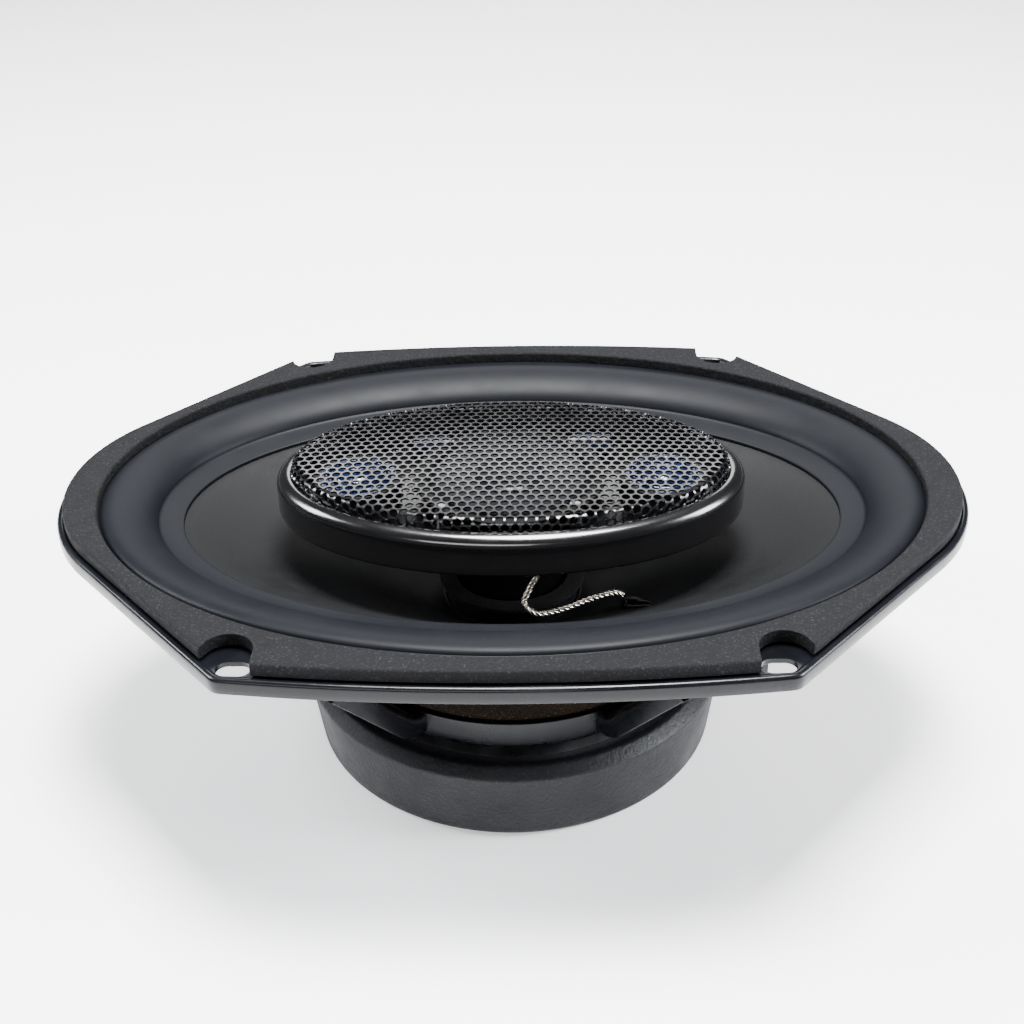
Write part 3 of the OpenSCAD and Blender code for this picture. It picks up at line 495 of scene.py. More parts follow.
def grille_tree():
    """A blank of hexagonal cells, each with a round hole, wrapped over an oval shoulder and down its side."""
    n, given, out = new_tree("perforated_pan", [
        (key, "Float") for key in ("Half Length", "Half Width", "Pitch", "Hole", "Bend", "Dome", "Height",
                                   "Blank", "Turn")] + [("Material", "Material")])
    pitch = given["Pitch"]
    row = n.math("MULTIPLY", pitch, math.sqrt(3) / 2)
    columns, lines = 50, 16  # of one lattice; the second stands in its gaps

    def lattice(shift_x, shift_y):
        grid = n.add("GeometryNodeMeshGrid", Vertices_X=columns + 1, Vertices_Y=lines + 1,
                     Size_X=n.math("MULTIPLY", pitch, float(columns)),
                     Size_Y=n.math("MULTIPLY", row, 2.0 * lines))
        move = n.add("ShaderNodeCombineXYZ", X=shift_x, Y=shift_y).outputs[0]
        return n.add("GeometryNodeTransform", Geometry=grid.outputs["Mesh"], Translation=move).outputs[0]

    both = n.add("GeometryNodeJoinGeometry")
    n.put(both.inputs[0], lattice(0.0, 0.0))
    n.put(both.inputs[0], lattice(n.math("MULTIPLY", pitch, 0.5), row))
    turn = n.add("ShaderNodeCombineXYZ", Z=given["Turn"]).outputs[0]
    points = n.add("GeometryNodeTransform", Geometry=both.outputs[0], Rotation=turn).outputs[0]

    def polar(split):
        x, y = split.outputs["X"], split.outputs["Y"]
        ex = n.math("DIVIDE", x, given["Half Length"])
        ey = n.math("DIVIDE", y, given["Half Width"])
        share = n.math("SQRT", n.math("ADD", n.math("MULTIPLY", ex, ex), n.math("MULTIPLY", ey, ey)))
        reach = n.math("SQRT", n.math("ADD", n.math("MULTIPLY", x, x), n.math("MULTIPLY", y, y)))
        reach, share = n.math("MAXIMUM", reach, 1e-6), n.math("MAXIMUM", share, 1e-5)
        edge = n.math("DIVIDE", reach, share)
        return x, y, share, reach, edge, n.math("SUBTRACT", reach, edge)

    place = n.add("GeometryNodeInputPosition").outputs[0]
    over = polar(n.add("ShaderNodeSeparateXYZ", Vector=place))[5]
    outside = n.add("FunctionNodeCompare", {"data_type": "FLOAT", "operation": "GREATER_THAN"})
    n.put(outside.inputs[0], over)
    n.put(outside.inputs[1], given["Blank"])
    kept = n.add("GeometryNodeDeleteGeometry", Geometry=points, Selection=outside.outputs[0]).outputs[0]

    # one cell: a twelve-sided face is extruded in place, its rim drawn out to the hexagon, its top to the hole
    sides = 12
    face = n.add("GeometryNodeMeshCircle", {"fill_type": "NGON"}, Vertices=sides, Radius=1.0).outputs[0]
    grown = n.add("GeometryNodeExtrudeMesh", {"mode": "FACES"}, Mesh=face, Offset_Scale=0.0)
    index = n.add("GeometryNodeInputIndex").outputs[0]
    odd = n.math("MODULO", index, 2.0)
    corner = n.math("MULTIPLY", pitch, 1 / math.sqrt(3))
    side = n.math("MULTIPLY", pitch, 0.5)
    rim = n.math("ADD", n.math("MULTIPLY", odd, n.math("SUBTRACT", corner, side)), side)
    inner = n.math("MULTIPLY", given["Hole"], 0.5)
    is_inner = n.add("FunctionNodeCompare", {"data_type": "INT", "operation": "GREATER_EQUAL"})
    whole = [s for s in is_inner.inputs if s.type == "INT"]
    n.put(whole[0], index)
    n.put(whole[1], sides)
    size = n.add("GeometryNodeSwitch", {"input_type": "FLOAT"}, **{
        "Switch": is_inner.outputs[0], "False": rim, "True": inner})
    spot = n.add("GeometryNodeInputPosition").outputs[0]
    scaled = n.add("ShaderNodeVectorMath", {"operation": "SCALE"}, Scale=size.outputs[0])
    n.put(scaled.inputs[0], spot)
    shaped = n.add("GeometryNodeSetPosition", Geometry=grown.outputs["Mesh"],
                   Position=scaled.outputs[0]).outputs[0]
    cell = n.add("GeometryNodeDeleteGeometry", {"domain": "FACE"}, Geometry=shaped,
                 Selection=grown.outputs["Top"]).outputs[0]

    laid = n.add("GeometryNodeInstanceOnPoints", Points=kept, Instance=cell, Rotation=turn).outputs[0]
    real = n.add("GeometryNodeRealizeInstances", Geometry=laid).outputs[0]
    sheet = n.add("GeometryNodeMergeByDistance", Geometry=real, Distance=0.00004).outputs[0]

    here = n.add("ShaderNodeSeparateXYZ", Vector=n.add("GeometryNodeInputPosition").outputs[0])
    x, y, share, reach, edge, past = polar(here)
    past = n.math("MAXIMUM", past, 0.0)
    bend = given["Bend"]
    angle = n.math("MINIMUM", n.math("DIVIDE", past, bend), math.pi / 2)
    down = n.math("MAXIMUM", n.math("SUBTRACT", past, n.math("MULTIPLY", bend, math.pi / 2)), 0.0)
    wide = n.math("ADD", n.math("MINIMUM", reach, edge), n.math("MULTIPLY", bend, n.math("SINE", angle)))
    ratio = n.math("DIVIDE", wide, reach)
    inside = n.math("MINIMUM", share, 1.0)
    crown = n.math("MULTIPLY", given["Dome"], n.math("SUBTRACT", 1.0, n.math("MULTIPLY", inside, inside)))
    fall = n.math("ADD", n.math("MULTIPLY", bend, n.math("SUBTRACT", 1.0, n.math("COSINE", angle))), down)
    z = n.math("SUBTRACT", n.math("ADD", given["Height"], crown), fall)
    wrapped = n.add("ShaderNodeCombineXYZ", X=n.math("MULTIPLY", x, ratio), Y=n.math("MULTIPLY", y, ratio), Z=z)
    pan = n.add("GeometryNodeSetPosition", Geometry=sheet, Position=wrapped.outputs[0]).outputs[0]
    smooth = n.add("GeometryNodeSetShadeSmooth", Geometry=pan).outputs[0]
    return end_tree(n, smooth, given, out)


STRAND_SHARE = 0.215  # a strand's radius in the lead's diameter


def lead_tree():
    """Round strands twisted along a path."""
    n, given, out = new_tree("twisted_strands", [
        ("Diameter", "Float"), ("Twist", "Float"), ("Strands", "Int"), ("Material", "Material")])
    path = n.add("GeometryNodeMeshToCurve", Mesh=given["Geometry"]).outputs[0]
    along = n.add("GeometryNodeSplineParameter").outputs["Length"]
    tilt = n.math("MULTIPLY", n.math("DIVIDE", along, given["Twist"]), FULL_TURN)
    tilted = n.add("GeometryNodeSetCurveTilt", Curve=path, Tilt=tilt).outputs[0]
    strand = n.math("MULTIPLY", given["Diameter"], STRAND_SHARE)
    spread = n.math("SUBTRACT", n.math("MULTIPLY", given["Diameter"], 0.5), strand)
    ring = n.add("GeometryNodeCurvePrimitiveCircle", Resolution=given["Strands"], Radius=spread).outputs[0]
    section = n.add("GeometryNodeCurvePrimitiveCircle", Resolution=8, Radius=strand).outputs[0]
    laid = n.add("GeometryNodeInstanceOnPoints", Points=ring, Instance=section).outputs[0]
    profile = n.add("GeometryNodeRealizeInstances", Geometry=laid).outputs[0]
    swept = n.add("GeometryNodeCurveToMesh", Curve=tilted, Profile_Curve=profile, Fill_Caps=True).outputs[0]
    smooth = n.add("GeometryNodeSetShadeSmooth", Geometry=swept).outputs[0]
    return end_tree(n, smooth, given, out)


def circle_tree():
    """One small piece set out evenly on a circle."""
    n, given, out = new_tree("set_on_circle", [
        ("Count", "Int"), ("Radius", "Float"), ("Start", "Float"), ("Material", "Material")])
    ring = n.add("GeometryNodeMeshCircle", Vertices=given["Count"], Radius=given["Radius"]).outputs[0]
    turn = n.add("ShaderNodeCombineXYZ", Z=given["Start"]).outputs[0]
    spots = n.add("GeometryNodeTransform", Geometry=ring, Rotation=turn).outputs[0]
    laid = n.add("GeometryNodeInstanceOnPoints", Points=spots, Instance=given["Geometry"]).outputs[0]
    real = n.add("GeometryNodeRealizeInstances", Geometry=laid).outputs[0]
    return end_tree(n, real, given, out)


# ---- basket -------------------------------------------------------------------------------------

CUP_RADIUS = 50.0
CUP_HOLE = 20.5
SHEET = 1.5  # of the stamped steel
PLATE_TOP = 3.6  # of the flange between its wall and its rim
RIM_TOP = 4.0
WALL_FOOT = -8.0
WINDOW_SIDE = math.radians(52)  # direction of the four arms off the long axis
SLOT_LENGTH, SLOT_WIDTH = 8, 5.2

def flange_reach(sizes, inset, angles):
    """Reach of the flange outline, brought in by inset, in each direction."""
    cx, s, c = HALF_LENGTH - sizes.end_radius / MM, math.sin(sizes.chamfer), math.cos(sizes.chamfer)
    end, side, corner = (v / MM - inset for v in (sizes.end_radius, sizes.side_radius, sizes.corner))
    corner = max(corner, 0.6)
    yc = HALF_WIDTH - sizes.side_radius / MM
    k, q = cx * c + end - corner, side - corner
    m = k * s + yc * c * c
    fy = m + math.sqrt(m * m - k * k - c * c * (yc * yc - q * q))
    fx = (k - s * fy) / c
    top = math.atan2(fy - yc, fx)
    t = np.linspace(0, sizes.chamfer, 60)
    arc = np.column_stack([cx + end * np.cos(t), end * np.sin(t)])
    t = np.linspace(sizes.chamfer, top, 16)
    blend = np.column_stack([fx + corner * np.cos(t), fy + corner * np.sin(t)])
    t = np.linspace(top, math.pi / 2, 60)
    bow = np.column_stack([side * np.cos(t), yc + side * np.sin(t)])
    quarter = np.vstack([arc, blend[1:], bow[1:]])
    folded = np.abs((angles + math.pi) % FULL_TURN - math.pi)
    folded = np.where(folded > math.pi / 2, math.pi - folded, folded)
    # where the ray meets the outline, found on the outline's own straight steps
    directions = np.arctan2(quarter[:, 1], quarter[:, 0])
    step = np.clip(np.searchsorted(directions, folded, side="right") - 1, 0, len(quarter) - 2)
    p, d = quarter[step], quarter[step + 1] - quarter[step]
    ux, uy = np.cos(folded), np.sin(folded)
    along = (p[:, 1] * ux - p[:, 0] * uy) / (d[:, 0] * uy - d[:, 1] * ux)
    hit = p + d * along[:, None]
    return np.hypot(hit[:, 0], hit[:, 1])


def outline_angles(count=720):
    return np.arange(count) * FULL_TURN / count


def flange_row(sizes, inset, z, angles):
    reach = flange_reach(sizes, inset, angles)
    return np.column_stack([reach * np.cos(angles), reach * np.sin(angles), np.full(len(angles), z)])


def oval_reach(a, b, angles):
    return a * b / np.sqrt((b * np.cos(angles)) ** 2 + (a * np.sin(angles)) ** 2)


def oval_by_angle(a, b, z, angles):
    reach = oval_reach(a, b, angles)
    return np.column_stack([reach * np.cos(angles), reach * np.sin(angles), np.full(len(angles), z)])


def prisms(outlines, z0, z1, material):
    """A cutter of upright prisms, one on each closed outline."""
    points, faces = [], []
    for ring in outlines:
        base, count = len(points), len(ring)
        points += [(p[0], p[1], z) for z in (z0, z1) for p in ring]
        faces += [(base + i, base + (i + 1) % count, base + count + (i + 1) % count, base + count + i)
                  for i in range(count)]
        faces += [tuple(range(base + count - 1, base - 1, -1)), tuple(range(base + count, base + 2 * count))]
    return skin("cutter", points, faces, material)


def slot_outline(x, y, steps=16):
    reach, end = (SLOT_LENGTH - SLOT_WIDTH) / 2, SLOT_WIDTH / 2
    t = np.linspace(-math.pi / 2, math.pi / 2, steps)
    half = np.column_stack([reach + end * np.cos(t), end * np.sin(t)])
    return np.vstack([half, -half]) + (x, y)


def corners(x, y):
    return [(sx * x, sy * y) for sx in (-1, 1) for sy in (-1, 1)]


def arm_skin(angle, width, fold, sheet, head_z, foot_z, wall):
    """A stamped arm: a channel that runs level on the cup, slopes up and runs level to the oval wall."""
    foot = CUP_RADIUS + 2.2
    head = float(oval_reach(wall[0] + 1.5, wall[1] + 1.5, np.array([angle]))[0]) - 5.4
    slope = math.atan2(head_z - foot_z, head - foot)
    half = width / 2
    deep = sheet + fold
    # cross-section, (across, below the top face): over the top, down one fold, back under, down the other
    section = rounded([(-half, 0, 1.6), (half, 0, 1.6), (half, deep, 0.3), (half - sheet, deep, 0.3),
                       (half - sheet, sheet, 0.6), (-half + sheet, sheet, 0.6), (-half + sheet, deep, 0.3),
                       (-half, deep, 0.3)] if fold else
                      [(-half, 0, 0.5), (half, 0, 0.5), (half, sheet, 0.5), (-half, sheet, 0.5)], 0.4, 4)
    bend = 5.0
    lean = bend * math.tan(slope / 2)
    path = [(CUP_RADIUS - 1.4, foot_z, 0.0), (foot - lean, foot_z, 0.0)]
    for i in range(1, 6):
        t = slope * i / 6
        path.append((foot - lean + bend * math.sin(t), foot_z + bend * (1 - math.cos(t)), t))
    path += [(foot + lean * math.cos(slope), foot_z + lean * math.sin(slope), slope),
             (head - lean * math.cos(slope), head_z - lean * math.sin(slope), slope)]
    for i in range(1, 6):
        t = slope * (1 - i / 6)
        path.append((head + lean - bend * math.sin(t), head_z - bend * (1 - math.cos(t)), t))
    path.append((head + lean, head_z, 0.0))
    rows = []
    for x, z, tilt in path:
        rows.append([(x + p[1] * math.sin(tilt), p[0], z - p[1] * math.cos(tilt)) for p in section])
    # the last row lies on the middle of the oval wall, wherever each point of the section meets it
    a, b, last = wall[0] + 0.75, wall[1] + 0.75, []
    for across, below in section:
        near, far = head, head + 30
        for _ in range(30):
            mid = (near + far) / 2
            x = mid * math.cos(angle) - across * math.sin(angle)
            y = mid * math.sin(angle) + across * math.cos(angle)
            near, far = (mid, far) if (x / a) ** 2 + (y / b) ** 2 < 1 else (near, mid)
        last.append((near, across, head_z - below))
    rows.append(last)
    points, faces = rings(rows, False)
    count = len(section)
    faces += [tuple(range(count - 1, -1, -1)), tuple(range(len(points) - count, len(points)))]
    spin = np.array([[math.cos(angle), math.sin(angle), 0], [-math.sin(angle), math.cos(angle), 0], [0, 0, 1]])
    return points @ spin, faces


class SPEAKER_OT_finishes(bpy.types.Operator):
    """Makes the finishes and gives each plain CAD node its own"""
    bl_idname = "speaker.finishes"
    bl_label = "Finishes"

    def execute(self, context):
        make_finishes(context.scene.speaker_colours)
        for node, obj in frame["nodes"].items():
            slot = next(s["material_slot"] for s in frame["record"]["subparts"] if s["node"] == node)
            obj.data.materials.clear()
            obj.data.materials.append(bpy.data.materials[slot])
        return {"FINISHED"}


class SPEAKER_OT_basket(bpy.types.Operator):
    """Builds the stamped basket: flange with folded rim and slots, oval wall, arms and motor cup"""
    bl_idname = "speaker.basket"
    bl_label = "Basket"

    def execute(self, context):
        sizes = context.scene.speaker_flange
        angles = outline_angles()
        wall = (HALF_LENGTH - sizes.wall_inset / MM, HALF_WIDTH - sizes.wall_inset / MM)
        r, top, plate, foot = sizes.rim_round / MM, RIM_TOP, PLATE_TOP, WALL_FOOT

        def edge(profile):
            return [flange_row(sizes, inset, z, angles) for inset, z in profile]

        def oval(out, profile):
            return [oval_by_angle(wall[0] + out + d, wall[1] + out + d, z, angles) for d, z in profile]

        arc = [(r - r * math.cos(t), top - r + r * math.sin(t)) for t in np.linspace(0, math.pi / 2, 6)]
        rows = oval(0, [(0, plate - 0.5), (0.15, plate - 0.15), (0.5, plate)])
        rows += edge([(2.3, plate), (1.95, plate + 0.1), (1.6, top - 0.06), (1.4, top)] + arc[::-1])
        rows += edge([(0, 1.8), (0, 0.35), (0.1, 0.1), (0.35, 0), (1.25, 0), (1.5, 0.1), (1.6, 0.35), (1.6, 1.9),
                      (1.8, 2.25), (2.2, 2.4)])
        rows += oval(SHEET, [(1.2, 2.4), (0.5, 2.2), (0.15, 1.8), (0, 1.2), (0, foot + 0.3), (-0.1, foot + 0.07),
                             (-0.3, foot)])
        rows += oval(0, [(0.3, foot), (0.1, foot + 0.07), (0, foot + 0.3)])
        points, faces = rings(rows, True)
        flange = skin("basket_flange", points, faces, "painted_steel")
        slots = [slot_outline(x, y) for x, y in corners(sizes.slot_x / MM, sizes.slot_y / MM)]
        cut_away(flange, prisms(slots, -2, 6, "painted_steel"))
        own(flange, "frame", "painted_steel", "basket")

        cup_top = high("spider_ring").z + 0.5
        all_points, all_faces = [], []
        right_arm, left_arm = (0, 20, 0), (math.pi, 20, 4)  # direction, width and depth of the folds
        for angle, width, fold in [right_arm, left_arm] + [
                (a, 22, 4) for a in (WINDOW_SIDE, math.pi - WINDOW_SIDE, math.pi + WINDOW_SIDE, -WINDOW_SIDE)]:
            pts, fcs = arm_skin(angle, width, fold, SHEET, -6.5, cup_top - 0.2, wall)
            base = sum(len(p) for p in all_points)
            all_points.append(pts)
            all_faces += [tuple(base + i for i in f) for f in fcs]
        arms = skin("basket_arms", np.vstack(all_points), all_faces, "painted_steel")
        own(arms, "frame", "painted_steel")
        cup = turned("basket_cup", [
            (CUP_HOLE, SEAT_Z + SHEET), (CUP_RADIUS - SHEET, SEAT_Z + SHEET, 1.2), (CUP_RADIUS - SHEET, cup_top),
            (CUP_RADIUS, cup_top), (CUP_RADIUS, SEAT_Z, 1.6), (CUP_HOLE, SEAT_Z)],
            "painted_steel", count=180, steps=4)
        own(cup, "frame", "painted_steel")
        return {"FINISHED"}


GASKET_END, GASKET_SIDE = 11.1, 7.7  # the foam's inner wall inside the flange's edge
NOTCH_RADIUS = 6


class SPEAKER_OT_gasket(bpy.types.Operator):
    """Builds the foam gasket with its four notches"""
    bl_idname = "speaker.gasket"
    bl_label = "Front gasket"

    def execute(self, context):
        sizes = context.scene.speaker_flange
        angles = outline_angles()
        z0, z1 = LIP_TOP, high("front_gasket").z
        inner = (HALF_LENGTH - GASKET_END, HALF_WIDTH - GASKET_SIDE)
        soft, edge = 0.7, 1.9  # rounding of the foam; its inset from the flange
        arc = [(soft * (1 - math.cos(t)), z1 - soft + soft * math.sin(t)) for t in np.linspace(0, math.pi / 2, 5)]
        rows = [flange_row(sizes, edge, z0, angles)]
        rows += [flange_row(sizes, edge + d, z, angles) for d, z in arc]
        rows += [oval_by_angle(inner[0] + d, inner[1] + d, z, angles) for d, z in reversed(arc)]
        rows += [oval_by_angle(inner[0], inner[1], z0, angles)]
        points, faces = rings(rows, True)
        gasket = skin("front_gasket_foam", points, faces, "gasket_foam")
        t = np.radians(np.linspace(180, 345, 30))
        mouth = np.column_stack([NOTCH_RADIUS * np.cos(t), NOTCH_RADIUS * np.sin(t)])
        mouth = np.vstack([mouth, [(20, 12), (20, 20), (-NOTCH_RADIUS, 20)]])
        mouth += (sizes.slot_x / MM + 1.5, sizes.slot_y / MM - 1.9)
        cut_away(gasket, prisms([mouth * side for side in corners(1, 1)], z0 - 1, z1 + 1, "gasket_foam"))
        own(gasket, "frame", "gasket_foam", "front_gasket")
        return {"FINISHED"}


class SPEAKER_OT_suspension(bpy.types.Operator):
    """Builds the rubber surround, the spider and the small surrounds in the pod"""
    bl_idname = "speaker.suspension"
    bl_label = "Surround and spiders"

    def execute(self, context):
        s = context.scene.speaker_surround
        inset, width, rise, drop, lip, fall = (v / MM for v in (
            s.foot_inset, s.roll_width, s.roll_rise, s.drop, s.glue_width, s.glue_fall))
        a, b, wall = HALF_LENGTH - inset, HALF_WIDTH - inset, 0.8
        foot = LIP_TOP - drop
        t = -np.cos(np.linspace(0, math.pi, 33))
        x, lean = width * (1 + t) / 2, drop * (1 + t) / 2
        roll = np.sqrt(np.maximum(0, 1 - t * t))
        upper = list(zip(x, LIP_TOP - lean + rise * roll))
        under = list(zip(x, LIP_TOP - wall - lean + (rise - 0.2) * roll))
        flat = width + lip
        profile = [(-4.8, LIP_TOP), (-1.2, LIP_TOP), (-0.4, LIP_TOP + 0.04)] + upper[1:-1]
        profile += [(x, foot - fall * (x - width) / lip + lift) for x, lift in (
            (width + 0.25, 0.12), (width + 0.6, 0.02), (flat - 1.2, 0), (flat - 0.9, 0.06), (flat - 0.35, 0.06),
            (flat - 0.08, -0.04), (flat, -0.2), (flat, -wall))]
        profile += under[::-1] + [(-4.8, LIP_TOP - wall)]
        surround = oval_ring("surround_roll", a, b, profile, "surround_rubber")

        def roll_share(p):
            reach = np.hypot(p[:, 0], p[:, 1])
            outer = oval_reach(a, b, np.arctan2(p[:, 1], p[:, 0]))
            inner = oval_reach(a - width, b - width, np.arctan2(p[:, 1], p[:, 0]))
            return ease((outer - reach) / (outer - inner))

        stretches(surround, "frame", "cone", roll_share, "surround_rubber", "surround")

        z, start, end = high("spider_ring").z, 18.8, 42.0
        radii = np.linspace(start, end, 97)
        wave = 0.8 * np.sin(FULL_TURN * 6 * (radii - start) / (end - start))
        lower = list(zip(radii, z + wave))
        profile = [(17.9, z)] + lower + [(47.5, z), (47.5, z + 0.5)]
        profile += [(r, h + 0.5) for r, h in lower[::-1]]
        profile += [(start - 0.3, z + 1.0), (18.3, z + 1.8), (17.9, z + 1.8)]
        spider = turned("spider_cloth_disc", profile, "spider_cloth", radius=0, count=160)

        def spider_share(p):
            return ease((42.5 - np.hypot(p[:, 0], p[:, 1])) / 23)

        stretches(spider, "frame", "cone", spider_share, "spider_cloth", "spider")

        def small_roll(name, centre, middle, wide, z, node, moving, material, skirt):
            t = np.linspace(math.pi, 0, 15)
            over = [(middle + wide * math.cos(v), z + wide * math.sin(v)) for v in t]
            thin = wide - 0.35
            below = [(middle + thin * math.cos(v), z + thin * math.sin(v)) for v in t[::-1]]
            out = middle + wide + skirt
            ring = turned(name, over + [(out, z + 0.02), (out, z)] + below, material, centre=centre, radius=0,
                          count=96)

            def share(p):
                reach = np.hypot(p[:, 0] - centre[0], p[:, 1] - centre[1])
                return ease((middle + wide - reach) / (2 * wide))

            stretches(ring, "frame", moving, share, material, node)

        small_roll("midrange_roll", (0, 0), 20.9, 1.0, low("midrange_surround").z + 0.03, "midrange_surround",
                   "midrange", "surround_rubber", 0.2)
        for name, side in (("left", -1), ("right", 1)):
            node = "tweeter_suspension_" + name
            small_roll("tweeter_roll_" + name, (side * 40, 0), 8.2, 0.7, low(node).z + 0.03, node,
                       "tweeter_" + name, "tweeter_film", 1.2)
        return {"FINISHED"}


CONE_DEPTH = 24.5
CONE_THICK = 1.17  # measured upright
RIM_INSET, FLANK_INSET = 26.3, 32.7  # of the cone's rim and of its flank's top end from the flange's edge
NECK_RADIUS, NECK_BORE = 18.85, 17.95
RIM_RISE = 1.2  # of the cone's rim over the end of its flank
CONE_NECK = high("cone").z - RIM_RISE - CONE_DEPTH


def flank(s, below=0.0):
    """Half sizes and height of the cone's flank at a share of the way from its neck to its rim."""
    r, a, b = NECK_RADIUS, HALF_LENGTH - FLANK_INSET, HALF_WIDTH - FLANK_INSET
    return r + (a - r) * s, r + (b - r) * s, CONE_NECK + CONE_DEPTH * s - below


DAB_X, DAB_Y = 31.0, 22.0  # place of the glue over an eyelet
DAB_HALF, DAB_TALL = 2.75, 2.3
DAB_BACK, DAB_LONG = 3.0, 13.4  # from its place to its round end, and from end to end


class SPEAKER_OT_cone(bpy.types.Operator):
    """Builds the paper cone, the felt dust ring and the glue at the leads"""
    bl_idname = "speaker.cone"
    bl_label = "Cone"

    def execute(self, context):
        top = high("cone").z
        rim = (HALF_LENGTH - RIM_INSET, HALF_WIDTH - RIM_INSET)
        rows = [oval_row(rim[0], rim[1], top - 0.2), oval_row(rim[0] - 0.2, rim[1] - 0.2, top)]
        steps = 40
        for i in range(steps, -1, -1):
            a, b, z = flank(i / steps)
            if i == steps:
                rows.append(oval_row(a + 0.9, b + 0.9, z + 0.17))
            rows.append(oval_row(a, b, z - (0.12 if i == steps else 0)))
        neck = NECK_BORE
        rows += [oval_row(neck + 0.45, neck + 0.45, CONE_NECK + 0.1), oval_row(neck, neck, CONE_NECK - 0.3),
                 oval_row(neck, neck, NECK_Z), oval_row(neck + 0.9, neck + 0.9, NECK_Z)]
        for i in range(steps + 1):
            a, b, z = flank(i / steps, CONE_THICK)
            rows.append(oval_row(a, b, z))
        rows.append(oval_row(rim[0], rim[1], top - 0.9))
        points, faces = rings(rows, True)
        cone = skin("cone_paper_body", points, faces, "cone_paper")
        own(cone, "cone", "cone_paper", "cone")

        outer, z = high("dust_ring").x, low("dust_ring").z
        inner, felt_top = outer - 4.7, z + 1.1
        felt = turned("felt_ring", [(inner, z), (outer, z), (outer, felt_top), (inner, felt_top)], "felt",
                      radius=0.45, count=160, steps=4)
        own(felt, "cone", "felt", "dust_ring")
        self.glue()
        return {"FINISHED"}

    def glue(self):
        """A drop over each eyelet, round towards the neck and tapered towards the rim."""
        drops, faces = [], []
        for side in (-1, 1):
            foot = np.array([DAB_X, side * DAB_Y])

            def surface(x, y):
                near, far = 0.0, 1.0
                for _ in range(24):
                    mid = (near + far) / 2
                    a, b, _z = flank(mid)
                    near, far = (mid, far) if (x / a) ** 2 + (y / b) ** 2 > 1 else (near, mid)
                return flank(mid)[2]

            z = surface(*foot)
            out = np.array([surface(foot[0] + 0.5, foot[1]) - surface(foot[0] - 0.5, foot[1]),
                            surface(foot[0], foot[1] + 0.5) - surface(foot[0], foot[1] - 0.5)])
            steep = math.atan(np.linalg.norm(out))
            out = out / np.linalg.norm(out)
            u = np.array([out[0] * math.cos(steep), out[1] * math.cos(steep), math.sin(steep)])
            v = np.array([-out[1], out[0], 0.0])
            w = np.cross(u, v)
            w = w if w[2] > 0 else -w
            origin = np.array([foot[0], foot[1], z])
            grid, around = 26, 24
            base = len(drops)
            for i in range(grid + 1):
                t = i / grid
                along = DAB_LONG * t - DAB_BACK
                if along < 1.0:
                    half = DAB_HALF * math.sqrt(max(0, 1 - ((1.0 - along) / 4.0) ** 2))
                else:
                    half = DAB_HALF * (1 - (along - 1.0) / 9.4) ** 0.85
                half = max(half, 0.02)
                tall = DAB_TALL * min(1, half / 2.2) ** 0.8 + 0.25 * math.sin(9 * t)
                for k in range(around):
                    q = math.pi * k / (around - 1)
                    up = -0.35 if k in (0, around - 1) else -0.1 + tall * math.sin(q) ** 0.8
                    drops.append(origin + u * along + v * half * math.cos(q) + w * up)
            for i in range(grid):
                a, b = base + i * around, base + (i + 1) * around
                faces += [(a + k, a + k + 1, b + k + 1, b + k) for k in range(around - 1)]
                faces.append((a + around - 1, a, b, b + around - 1))
            faces += [tuple(range(base, base + around)),
                      tuple(range(base + grid * around + around - 1, base + grid * around - 1, -1))]
        drop = skin("glue_drops", drops, faces, "black_glue", smooth=math.radians(60))
        own(drop, "cone", "black_glue", "lead_glue_dabs")


POD_HOLE = 9.05  # radius, round the post
BOSS_CIRCLE = 23.5
BLANK_EDGE = 5.4  # of the grille's flat blank past its shoulder


